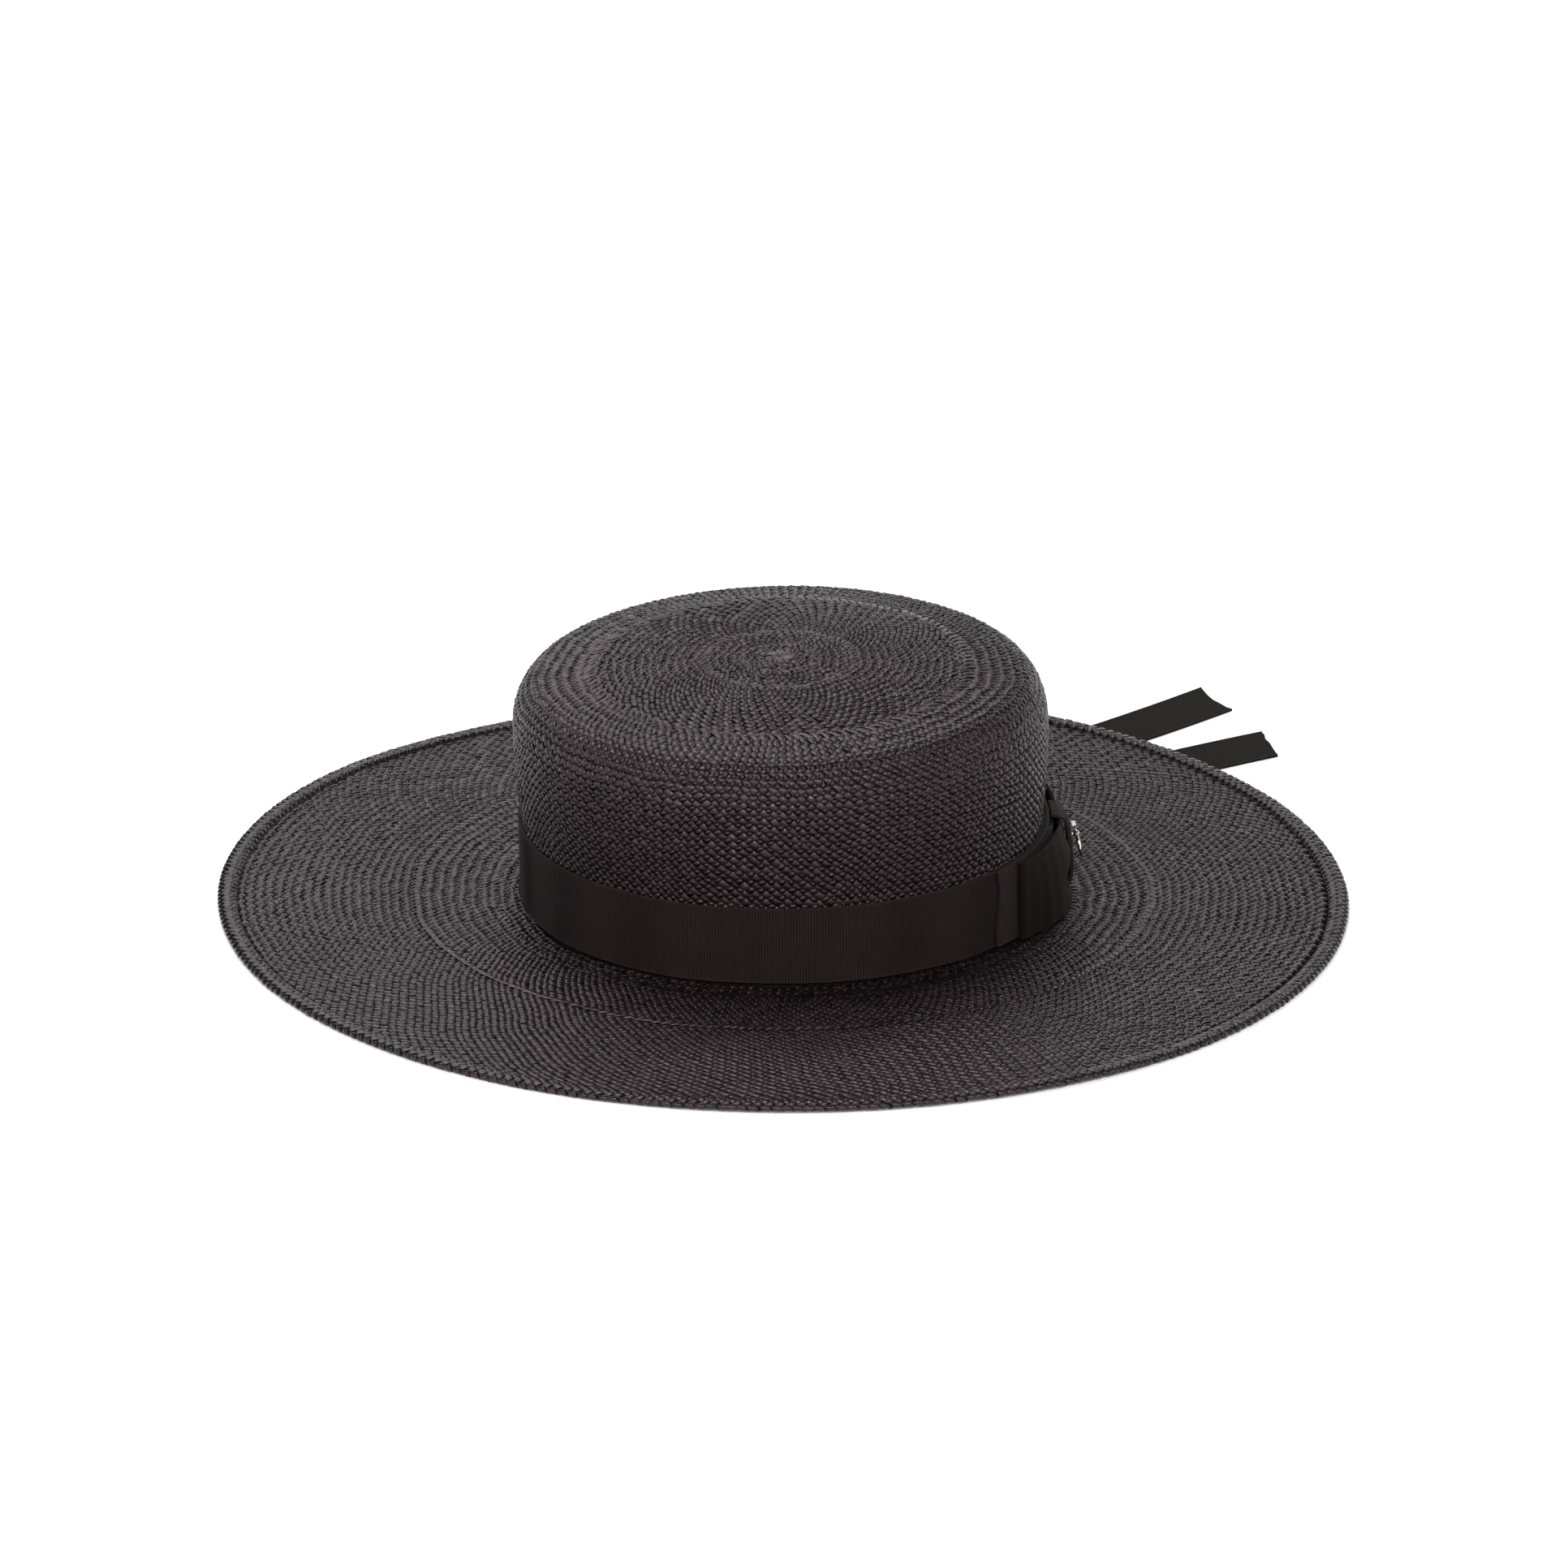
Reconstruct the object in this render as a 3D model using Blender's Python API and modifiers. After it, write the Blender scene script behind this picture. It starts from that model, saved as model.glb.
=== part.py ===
"""Wide-brimmed woven straw hat, resting on its brim.

One woven shell makes the flat-topped crown and the brim. A ribbed ribbon band with a
tailored bow runs round the foot of the crown, a small metal brooch is pinned to the
bow's knot, and two ribbon ties are sewn inside the crown and lie on the surface.

Metres, +Z up. The bow is on the +X side and -Y is the front of the hat. Every piece is
drawn round the crown's axis, and the parent empty then puts the middle of the whole
object's outline over the origin.
"""

import math

import bmesh
import bpy
from mathutils import Matrix, Vector

MM = 0.001

# Walls and clearances
STRAW = 1.5 * MM
RIBBON = 1.0 * MM
GAP = 0.3 * MM

# Crown: outer sizes of the straw, before it is drawn out into an oval
CROWN_RADIUS = 91.5 * MM
CROWN_SWELL = 2.1 * MM
OVAL_EXTRA = 2.8 * MM
RIM_HEIGHT = 84.2 * MM
RIM_ACROSS = 11.8 * MM
RIM_DOWN = 17.2 * MM
TIP_DOME = 5.0 * MM
TIP_RISE_BACK = 2.0 * MM
TIP_RISE_BOW = 2.2 * MM
TIP_LEAN = 1.8 * MM

# Brim
BRIM_RADIUS = 199.3 * MM
HEM_THICKNESS = 2.8 * MM
HEM_WIDTH = 7.0 * MM
HEM_STEP = 1.0 * MM
BRIM_UNDERSIDE = 0.35 * MM
BREAK_FILLET = 0.8 * MM
EDGE_LIFT = 3.4 * MM
BREAK_LIFT = 1.8 * MM

# Ribbon band and bow
BAND_HEIGHT = 28.0 * MM
BOW_AZIMUTH = 4.0
BOW_DEPTH = 10.0 * MM
LOOP_REACH = 34.0
LAYER_REACH = 41.0
LOOP_PINCH = 2.8 * MM
PINCH_START = 0.12
PINCH_END = 0.42
FOLD_RADIUS = 0.8 * MM
KNOT_WIDTH = 13.4 * MM

# Brooch on the knot
BROOCH_HEIGHT = 13.0 * MM
BROOCH_LEVEL = 18.6 * MM
BROOCH_WIRE = 0.65 * MM
BROOCH_TILT = 14.0
BROOCH_CLEAR = 0.5 * MM
RING_WIDTH = 8.4 * MM
RING_HEIGHT = 9.0 * MM
KNOB_RADIUS = 1.2 * MM
CROSSBAR_LENGTH = 5.0 * MM
CROSSBAR_SIZE = 1.5 * MM
POST_RADIUS = 0.52 * MM

# Ribbon ties
TIE_WIDTH = 24.0 * MM
TIE_LENGTH = 176.0 * MM
TIE_TAB = 18.0 * MM
TIE_BEND = 3.4 * MM
TIE_REST = 0.05 * MM

# Resolution: steps round the crown, along a tie and over the rim's rounding, rows of a
# tie over which its fold and its cut ease away, and degrees of the break's fillet
AROUND = 60
TIE_STEPS = 18
TIE_EASE = 6
RIM_STEPS = 5
FILLET_STEPS = (30.0, 60.0, 90.0)
HEM_STEPS = (90.0, 50.0, 18.0, -18.0, -50.0, -90.0)

# Rings of the flat parts: shares of the way out over the tip and over the brim
TIP_RINGS = (0.0, 0.3, 0.6, 0.85)
BRIM_RINGS = (0.2, 0.4, 0.6, 0.8)

# Waves of the brim: azimuth in degrees, share of EDGE_LIFT at the hem, share of
# BREAK_LIFT where the brim meets the crown. The hem lies flat on the surface wherever
# two neighbouring rows have no lift.
BRIM_WAVES = (
    (0.0, 0.30, 0.15),
    (30.0, 0.55, 0.50),
    (60.0, 0.80, 0.80),
    (90.0, 0.00, 1.00),
    (120.0, 0.00, 0.95),
    (150.0, 0.52, 0.45),
    (180.0, 0.45, 0.05),
    (210.0, 0.00, 0.05),
    (240.0, 0.00, 0.30),
    (270.0, 0.22, 0.95),
    (300.0, 0.24, 0.95),
    (315.0, 0.00, 0.70),
    (345.0, 0.00, 0.25),
)

# Side wall of the crown: share of the height from the break's fillet up to the rim's
# rounding, share of CROWN_SWELL. The wall is straight behind the band.
WALL_ROWS = (
    (1.00, 1.00),
    (0.84, 0.97),
    (0.70, 0.75),
    (0.56, 0.35),
    (0.45, 0.00),
    (0.00, 0.00),
)

# Outer leaf of a bow loop: share of the loop's reach from the knot, then the share of
# BOW_DEPTH that it stands off the band at its bottom edge, in the pleat above it, at
# mid height and at its top edge.
LOOP_ROWS = (
    (0.06, 0.58, 0.46, 0.64, 0.46),
    (0.12, 0.66, 0.48, 0.72, 0.48),
    (0.18, 0.80, 0.52, 0.82, 0.50),
    (0.27, 0.90, 0.64, 0.84, 0.52),
    (0.38, 0.90, 0.78, 0.80, 0.50),
    (0.53, 0.84, 0.80, 0.72, 0.47),
    (0.68, 0.71, 0.70, 0.61, 0.43),
    (0.82, 0.54, 0.53, 0.49, 0.40),
    (0.93, 0.42, 0.41, 0.40, 0.38),
)
LOOP_LEVELS = (0.0, 0.24, 0.52, 1.0)

# Front of the knot from top to bottom: share of the band's height, share of BOW_DEPTH.
# The knot's two side edges lie lower than its middle by KNOT_CROWN of that depth.
KNOT_CROWN = 0.05
KNOT_ROWS = (
    (1.00, 0.22),
    (0.99, 0.46),
    (0.95, 0.66),
    (0.86, 0.79),
    (0.70, 0.86),
    (0.52, 0.91),
    (0.34, 0.94),
    (0.18, 0.93),
    (0.08, 0.84),
    (0.03, 0.64),
    (0.02, 0.44),
    (0.02, 0.22),
)

# Ribbon ties: name, azimuth where the tie leaves the crown, heading there and heading
# at its free end in degrees, share of TIE_LENGTH on the surface, and how much longer
# its left edge is than its right edge at the cut as a share of TIE_WIDTH
TIE_ROWS = (
    ("ribbon_tie_rear", 71.0, 36.0, 47.0, 1.0, 0.333),
    ("ribbon_tie_side", 49.0, 40.5, 30.0, 0.838, 0.5),
)
TAB_SHARES = (1.0, 0.66, 0.33)
BEND_SHARES = (1.0, 0.8, 0.6, 0.4, 0.2, 0.0)

# Sizes that follow from the ones above
BRIM_TOP = BRIM_UNDERSIDE + STRAW
FILLET_RADIUS = CROWN_RADIUS + BREAK_FILLET
FILLET_HEIGHT = BRIM_TOP + BREAK_FILLET
BAND_BOTTOM = FILLET_HEIGHT + GAP
BAND_INNER = CROWN_RADIUS + GAP
BAND_OUTER = BAND_INNER + RIBBON
LAYER_MIDDLE = BAND_OUTER + GAP + RIBBON / 2
LEAF_MIDDLE = LAYER_MIDDLE + RIBBON + GAP
FOLD_LINE = CROWN_RADIUS * math.cos(math.pi / AROUND) - STRAW - GAP - RIBBON / 2 + TIE_BEND


def smooth(share):
    """Ease a share between 0 and 1 in and out."""
    share = min(max(share, 0.0), 1.0)
    return share * share * (3.0 - 2.0 * share)


def between(rows, key, column):
    """Ease between the rows of a table that is sorted by its first column."""
    for low, high in zip(rows, rows[1:]):
        if low[0] <= key <= high[0]:
            share = smooth((key - low[0]) / (high[0] - low[0]))
            return low[column] + (high[column] - low[column]) * share
    return rows[0][column] if key < rows[0][0] else rows[-1][column]


def wave(azimuth, column):
    """Read the brim's waves, which close on themselves after a full turn."""
    closed = BRIM_WAVES + ((360.0,) + BRIM_WAVES[0][1:],)
    return between(closed, math.degrees(azimuth) % 360.0, column)


def lift(azimuth, radius, height):
    """Height that the brim's waves add to a point, fading out up the crown."""
    hem_start = BRIM_RADIUS - HEM_WIDTH
    outward = smooth((radius - FILLET_RADIUS) / (hem_start - FILLET_RADIUS))
    edge = EDGE_LIFT * wave(azimuth, 1)
    foot = BREAK_LIFT * wave(azimuth, 2)
    fade = 1.0 - min(max((height - BRIM_TOP) / (RIM_HEIGHT - BRIM_TOP), 0.0), 1.0)
    return (foot + (edge - foot) * outward) * fade


def settle(point):
    """Move a point of the round hat to its place on the oval, waved and leaning hat."""
    azimuth = math.atan2(point.y, point.x)
    radius = math.hypot(point.x, point.y)
    stretch = OVAL_EXTRA * min(radius / CROWN_RADIUS, 1.0)
    up = point.z / RIM_HEIGHT
    x = math.cos(azimuth) * radius - TIP_LEAN * up
    y = math.sin(azimuth) * (radius + stretch)
    tip = (TIP_RISE_BOW * x + TIP_RISE_BACK * y) / CROWN_RADIUS * up * up
    return Vector((x, y, point.z + lift(azimuth, radius, point.z) + tip))


def around_crown(degrees, radius, height):
    """Point on the round hat at an azimuth, radius and height."""
    azimuth = math.radians(degrees)
    return Vector((radius * math.cos(azimuth), radius * math.sin(azimuth), height))


# Materials

def material(name, colour, roughness, metallic):
    """Principled material with a plain colour."""
    made = bpy.data.materials.new(name)
    made.use_nodes = True
    shader = made.node_tree.nodes["Principled BSDF"]
    shader.inputs["Base Color"].default_value = (*colour, 1.0)
    shader.inputs["Roughness"].default_value = roughness
    shader.inputs["Metallic"].default_value = metallic
    return made


def straw_material():
    return material("dyed_straw", (0.045, 0.039, 0.041), 0.55, 0.0)


def band_material():
    return material("band_grosgrain", (0.020, 0.016, 0.017), 0.85, 0.0)


def layer_material():
    return material("bow_layer_grosgrain", (0.018, 0.015, 0.016), 0.85, 0.0)


def loop_material(name):
    return material(name + "_ribbon", (0.021, 0.017, 0.018), 0.80, 0.0)


def knot_material():
    return material("knot_ribbon", (0.017, 0.014, 0.015), 0.85, 0.0)


def metal_material():
    return material("polished_metal", (0.72, 0.71, 0.69), 0.20, 1.0)


def tie_material(name):
    return material(name + "_grosgrain", (0.019, 0.016, 0.017), 0.85, 0.0)


# Mesh helpers

def add_object(name, mesh, collection, look=None):
    """Put a mesh into the scene as a named object."""
    made = bpy.data.objects.new(name, mesh)
    collection.objects.link(made)
    if look:
        mesh.materials.append(look)
    return made


def evaluated_mesh(source):
    """Mesh of an object with its modifiers applied."""
    graph = bpy.context.evaluated_depsgraph_get()
    return bpy.data.meshes.new_from_object(source.evaluated_get(graph))


def bake(source, move=None):
    """Replace an object's mesh by its evaluated one, closed up, with its points moved."""
    mesh = evaluated_mesh(source)
    work = bmesh.new()
    work.from_mesh(mesh)
    bmesh.ops.remove_doubles(work, verts=work.verts, dist=1e-6)
    if move:
        for vertex in work.verts:
            vertex.co = move(vertex.co)
    bmesh.ops.recalc_face_normals(work, faces=work.faces)
    work.to_mesh(mesh)
    work.free()
    source.modifiers.clear()
    source.data = mesh
    return source


def turned(name, profile, closed, collection, look):
    """Turn a profile of (radius, height) points round the crown's axis."""
    mesh = bpy.data.meshes.new(name)
    work = bmesh.new()
    points = [work.verts.new((radius, 0.0, height)) for radius, height in profile]
    for first, second in zip(points, points[1:]):
        work.edges.new((first, second))
    if closed:
        work.edges.new((points[-1], points[0]))
    work.to_mesh(mesh)
    work.free()
    made = add_object(name, mesh, collection, look)
    screw = made.modifiers.new("turn", "SCREW")
    screw.axis = "Z"
    screw.steps = AROUND
    screw.render_steps = AROUND
    screw.use_merge_vertices = True
    screw.merge_threshold = 0.00001
    return bake(made, settle)


def ribbon_sheet(name, along, across, place, collection, look):
    """Ribbon of the standard thickness: a grid laid out by `place`, then thickened."""
    mesh = bpy.data.meshes.new(name)
    work = bmesh.new()
    bmesh.ops.create_grid(work, x_segments=along, y_segments=across, size=1.0)
    for vertex in work.verts:
        step = round((vertex.co.x + 1.0) / 2.0 * along)
        level = round((vertex.co.y + 1.0) / 2.0 * across)
        vertex.co = place(step, level / across)
    work.to_mesh(mesh)
    work.free()
    made = add_object(name, mesh, collection, look)
    solid = made.modifiers.new("thickness", "SOLIDIFY")
    solid.thickness = RIBBON
    solid.offset = 0.0
    solid.use_even_offset = True
    return bake(made)


def show_smooth(made):
    """Shade rounded faces smooth and keep the creases sharp."""
    made.data.shade_smooth()
    made.data.set_sharp_from_angle(angle=math.radians(40.0))


# Woven body

def crown_profile(inset):
    """Crown surface from the middle of the tip to the break, moved in by `inset`."""
    across = RIM_ACROSS - inset
    down = RIM_DOWN - inset
    centre = CROWN_RADIUS + CROWN_SWELL - RIM_ACROSS
    level = RIM_HEIGHT - RIM_DOWN
    start = math.atan2(down, across * 2.0 * TIP_DOME / centre)
    join_radius = centre + across * math.cos(start)
    join_height = level + down * math.sin(start)
    points = []
    for share in TIP_RINGS:
        dome = TIP_DOME * (1.0 - share * share)
        points.append((join_radius * share, join_height + dome))
    for step in range(RIM_STEPS):
        angle = start * (1.0 - step / RIM_STEPS)
        points.append((centre + across * math.cos(angle), level + down * math.sin(angle)))
    for share, swell in WALL_ROWS:
        height = FILLET_HEIGHT + (level - FILLET_HEIGHT) * share
        points.append((CROWN_RADIUS + CROWN_SWELL * swell - inset, height))
    bend = BREAK_FILLET + inset
    for degrees in FILLET_STEPS:
        angle = math.radians(degrees)
        radius = FILLET_RADIUS - bend * math.cos(angle)
        points.append((radius, FILLET_HEIGHT - bend * math.sin(angle)))
    return points


def hem_profile():
    """Folded and stitched edge of the brim, from its top inner edge to its underside."""
    half = HEM_THICKNESS / 2
    inner = BRIM_RADIUS - HEM_WIDTH
    points = [(inner, BRIM_TOP), (inner + HEM_STEP, HEM_THICKNESS)]
    for degrees in HEM_STEPS:
        angle = math.radians(degrees)
        radius = BRIM_RADIUS - half + half * math.cos(angle)
        points.append((radius, half + half * math.sin(angle)))
    points += [(inner + HEM_STEP, 0.0), (inner, BRIM_UNDERSIDE)]
    return points


def woven_body(collection):
    """Crown and brim, woven in one piece: a shell that is open below for the head."""
    reach = BRIM_RADIUS - HEM_WIDTH - FILLET_RADIUS
    brim = [FILLET_RADIUS + reach * share for share in BRIM_RINGS]
    profile = crown_profile(0.0)
    profile += [(radius, BRIM_TOP) for radius in brim]
    profile += hem_profile()
    profile += [(radius, BRIM_UNDERSIDE) for radius in reversed(brim)]
    profile += reversed(crown_profile(STRAW))
    made = turned("woven_body", profile, False, collection, straw_material())
    show_smooth(made)
    return made


# Band and bow

def hat_band(collection):
    """Ribbon band round the foot of the crown."""
    top = BAND_BOTTOM + BAND_HEIGHT
    profile = [
        (BAND_OUTER, top),
        (BAND_OUTER, BAND_BOTTOM + BAND_HEIGHT / 2),
        (BAND_OUTER, BAND_BOTTOM),
        (BAND_INNER, BAND_BOTTOM),
        (BAND_INNER, top),
    ]
    made = turned("hat_band", profile, True, collection, band_material())
    show_smooth(made)
    return made


def bow_under_layer(collection):
    """Flat ribbon length that shows past both loops of the bow."""
    along = 24

    def place(step, level):
        degrees = BOW_AZIMUTH + LAYER_REACH * (2.0 * step / along - 1.0)
        height = BAND_BOTTOM + BAND_HEIGHT * level
        return settle(around_crown(degrees, LAYER_MIDDLE, height))

    return ribbon_sheet("bow_under_layer", along, 4, place, collection, layer_material())


def loop_depth(share, level):
    """Distance of a loop's outer leaf from the band at a share of reach and height."""
    columns = [between(LOOP_ROWS, share, column) for column in range(1, len(LOOP_LEVELS) + 1)]
    rows = tuple(zip(LOOP_LEVELS, columns))
    return BOW_DEPTH * between(rows, level, 1)


def loop_path(level):
    """One level of a loop, seen from above: (share of reach, radius) from knot to knot."""
    knot = LOOP_ROWS[0][0]
    tip = 1.0 - FOLD_RADIUS / (LEAF_MIDDLE * math.radians(LOOP_REACH))
    inner_steps = 7
    path = []
    for step in range(inner_steps):
        path.append((knot + (tip - knot) * step / (inner_steps - 1), LEAF_MIDDLE))
    outer_tip = BAND_OUTER + loop_depth(tip, level)
    middle = (LEAF_MIDDLE + outer_tip) / 2
    half = (outer_tip - LEAF_MIDDLE) / 2
    for degrees in (-45.0, 0.0, 45.0):
        angle = math.radians(degrees)
        path.append((tip + (1.0 - tip) * math.cos(angle), middle + half * math.sin(angle)))
    outer_steps = 15
    for step in range(outer_steps):
        share = tip + (knot - tip) * step / (outer_steps - 1)
        path.append((share, BAND_OUTER + loop_depth(share, level)))
    return path


def bow_loop(name, side, collection):
    """One loop of the bow, folded at its tip and pinched in where it enters the knot."""
    along = len(loop_path(0.0)) - 1

    def place(step, level):
        share, radius = loop_path(level)[step]
        pinch = LOOP_PINCH * smooth((PINCH_END - share) / (PINCH_END - PINCH_START))
        height = BAND_BOTTOM + pinch + (BAND_HEIGHT - 2.0 * pinch) * level
        return settle(around_crown(BOW_AZIMUTH + side * LOOP_REACH * share, radius, height))

    return ribbon_sheet(name, along, 8, place, collection, loop_material(name))


def bow_knot(collection):
    """Ribbon wrapped over the middle of the bow, its ends tucked in behind the loops."""
    across = 4
    half_width = math.degrees(KNOT_WIDTH / 2 / BAND_OUTER)

    def place(step, level):
        share, depth = KNOT_ROWS[step]
        crown = 1.0 - KNOT_CROWN * (2.0 * level - 1.0) ** 2
        degrees = BOW_AZIMUTH + half_width * (2.0 * level - 1.0)
        height = BAND_BOTTOM + RIBBON / 2 + (BAND_HEIGHT - RIBBON) * share
        return settle(around_crown(degrees, BAND_OUTER + BOW_DEPTH * depth * crown, height))

    return ribbon_sheet("bow_knot", len(KNOT_ROWS) - 1, across, place, collection, knot_material())


# Brooch

def primitive(collection, name, build):
    """Object made by one bmesh primitive operator."""
    mesh = bpy.data.meshes.new(name)
    work = bmesh.new()
    build(work)
    work.to_mesh(mesh)
    work.free()
    return add_object(name, mesh, collection)


def brooch_ring(collection):
    """Plain oval ring of round wire."""
    bpy.ops.mesh.primitive_torus_add(
        major_segments=28,
        minor_segments=8,
        major_radius=RING_HEIGHT / 2 - BROOCH_WIRE,
        minor_radius=BROOCH_WIRE,
        rotation=(0.0, math.radians(90.0), 0.0),
    )
    ring = bpy.context.object
    for holder in list(ring.users_collection):
        holder.objects.unlink(ring)
    collection.objects.link(ring)
    bpy.context.view_layer.update()
    ring.data.transform(ring.matrix_world)
    ring.matrix_world = Matrix()
    ring.data.transform(Matrix.Diagonal((1.0, RING_WIDTH / RING_HEIGHT, 1.0, 1.0)))
    ring.data.transform(Matrix.Translation((0.0, 0.0, (RING_HEIGHT - BROOCH_HEIGHT) / 2)))
    ring.name = "brooch"
    return ring


def brooch_additions(cutters, post):
    """Crossbar, stem, knob and back post that are soldered to the ring."""
    top = BROOCH_HEIGHT / 2
    knob_level = RING_HEIGHT - BROOCH_HEIGHT / 2
    bar_level = top - CROSSBAR_SIZE / 2
    bar_size = (CROSSBAR_SIZE, CROSSBAR_LENGTH, CROSSBAR_SIZE, 1.0)
    bar_place = Matrix.Translation((0.0, 0.0, bar_level)) @ Matrix.Diagonal(bar_size)
    stem_length = bar_level - knob_level
    stem_place = Matrix.Translation((0.0, 0.0, (bar_level + knob_level) / 2))
    knob_place = Matrix.Translation((0.0, 0.0, knob_level))
    post_place = Matrix.Translation((-post / 2, 0.0, knob_level)) @ Matrix.Rotation(
        math.radians(90.0), 4, "Y"
    )

    def crossbar(work):
        bmesh.ops.create_cube(work, size=1.0, matrix=bar_place)

    def stem(work):
        bmesh.ops.create_cone(
            work,
            cap_ends=True,
            segments=12,
            radius1=BROOCH_WIRE,
            radius2=BROOCH_WIRE,
            depth=stem_length,
            matrix=stem_place,
        )

    def knob(work):
        bmesh.ops.create_uvsphere(
            work, u_segments=14, v_segments=9, radius=KNOB_RADIUS, matrix=knob_place
        )

    def back_post(work):
        bmesh.ops.create_cone(
            work,
            cap_ends=True,
            segments=12,
            radius1=POST_RADIUS,
            radius2=POST_RADIUS,
            depth=post,
            matrix=post_place,
        )

    return [
        primitive(cutters, "crossbar", crossbar),
        primitive(cutters, "stem", stem),
        primitive(cutters, "knob", knob),
        primitive(cutters, "back_post", back_post),
    ]


def knot_face(height):
    """Outermost radius of the knot's front at a height."""
    share = (height - BAND_BOTTOM) / BAND_HEIGHT
    rows = KNOT_ROWS[8:1:-1]
    return BAND_OUTER + BOW_DEPTH * between(rows, share, 1) + RIBBON / 2


def brooch(collection, cutters):
    """Small brooch of plain wire with a crossbar, a knob and an oval ring."""
    tilt = math.radians(BROOCH_TILT)
    knob_level = RING_HEIGHT - BROOCH_HEIGHT / 2
    bar_level = (BROOCH_HEIGHT - CROSSBAR_SIZE) / 2
    top_height = BROOCH_LEVEL + bar_level * math.cos(tilt)
    bar_reach = CROSSBAR_SIZE / 2 * (math.cos(tilt) + math.sin(tilt))
    bar_radius = knot_face(top_height) + BROOCH_CLEAR + bar_reach
    radius = bar_radius + bar_level * math.sin(tilt)
    knob_radius = radius - knob_level * math.sin(tilt)
    knob_height = BROOCH_LEVEL + knob_level * math.cos(tilt)
    post = (knob_radius - knot_face(knob_height) - GAP) / math.cos(tilt)
    ring = brooch_ring(collection)
    for addition in brooch_additions(cutters, post):
        addition.hide_render = True
        addition.display_type = "WIRE"
        union = ring.modifiers.new("solder_" + addition.name, "BOOLEAN")
        union.operation = "UNION"
        union.solver = "EXACT"
        union.object = addition
    bake(ring)
    ring.data.materials.clear()
    ring.data.materials.append(metal_material())
    ring.location = settle(around_crown(BOW_AZIMUTH, radius, BROOCH_LEVEL))
    ring.rotation_euler = (0.0, -tilt, math.radians(BOW_AZIMUTH))
    show_smooth(ring)
    return ring


# Ribbon ties

def tie_centre(start, first, last, length):
    """Middle line of a tie on the surface: a list of (point, heading) with even steps."""
    line = []
    point = start.copy()
    for step in range(TIE_STEPS + 1):
        heading = math.radians(first + (last - first) * step / TIE_STEPS)
        line.append((point.copy(), heading))
        ahead = Vector((math.cos(heading), math.sin(heading), 0.0))
        point += ahead * (length / TIE_STEPS)
    return line


def fold_point(azimuth, inward):
    """Point of the oval on which the ties turn up, moved in towards the crown's axis."""
    stretch = 1.0 + OVAL_EXTRA / CROWN_RADIUS
    edge = Vector((math.cos(azimuth), math.sin(azimuth) * stretch, 0.0)) * FOLD_LINE
    return edge - edge.normalized() * inward


def tie_crossing(skew, across, inward):
    """Where one thread of a tie lies a given way in past the fold line.

    Returns how far back along the tie that is and how far sideways along the wall.
    """
    back = 0.0
    for _ in range(4):
        sideways = across * math.cos(skew) + back * math.sin(skew)
        bow = FOLD_LINE - math.sqrt(FOLD_LINE * FOLD_LINE - sideways * sideways)
        back = (inward + across * math.sin(skew) + bow) / math.cos(skew)
    return back, sideways


def tie_rows_inside():
    """Distances past the fold line of a tie's rows: up the sewn tab, then the bend."""
    bend = TIE_BEND * math.pi / 2
    tab = [bend + TIE_TAB * share for share in TAB_SHARES]
    return tab + [bend * share for share in BEND_SHARES]


def tie_inside(azimuth, sideways, inward):
    """Point of a tie on the bend under the crown's wall or on the tab above it."""
    bend = TIE_BEND * math.pi / 2
    turn = min(inward, bend) / TIE_BEND
    rise = RIBBON / 2 + TIE_REST + TIE_BEND * (1.0 - math.cos(turn)) + max(inward - bend, 0.0)
    placed = fold_point(azimuth + math.asin(sideways / FOLD_LINE), TIE_BEND * math.sin(turn))
    return placed + Vector((-TIP_LEAN * rise / RIM_HEIGHT, 0.0, rise))


def ribbon_tie(name, azimuth, first, last, reach, slant, collection):
    """Ribbon tie: a tab sewn inside the crown, then the run out under the brim."""
    azimuth = math.radians(azimuth)
    skew = azimuth - math.radians(first)
    line = tie_centre(fold_point(azimuth, 0.0), first, last, TIE_LENGTH * reach)
    inside = tie_rows_inside()
    last_row = len(line) - 1

    def place(step, level):
        across = TIE_WIDTH * (level - 0.5)
        if step < len(inside):
            sideways = tie_crossing(skew, across, inside[step])[1]
            return tie_inside(azimuth, sideways, inside[step])
        row = step - len(inside) + 1
        point, heading = line[row]
        left = Vector((-math.sin(heading), math.cos(heading), 0.0))
        ahead = Vector((math.cos(heading), math.sin(heading), 0.0))
        fold = -tie_crossing(skew, across, 0.0)[0] * smooth(1.0 - row / TIE_EASE)
        cut = slant * across * smooth(1.0 - (last_row - row) / TIE_EASE)
        flat = point + left * across + ahead * (fold + cut)
        return flat + Vector((0.0, 0.0, RIBBON / 2 + TIE_REST))

    steps = len(inside) + last_row - 1
    return ribbon_sheet(name, steps, 4, place, collection, tie_material(name))


# Assembly

def outline_middle(parts):
    """Middle of the whole object's outline, seen from above."""
    bpy.context.view_layer.update()
    corners = [part.matrix_world @ vertex.co for part in parts for vertex in part.data.vertices]
    middle_x = (min(point.x for point in corners) + max(point.x for point in corners)) / 2
    middle_y = (min(point.y for point in corners) + max(point.y for point in corners)) / 2
    return middle_x, middle_y


def new_collection(name):
    """Collection in the scene."""
    made = bpy.data.collections.new(name)
    bpy.context.scene.collection.children.link(made)
    return made


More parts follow.
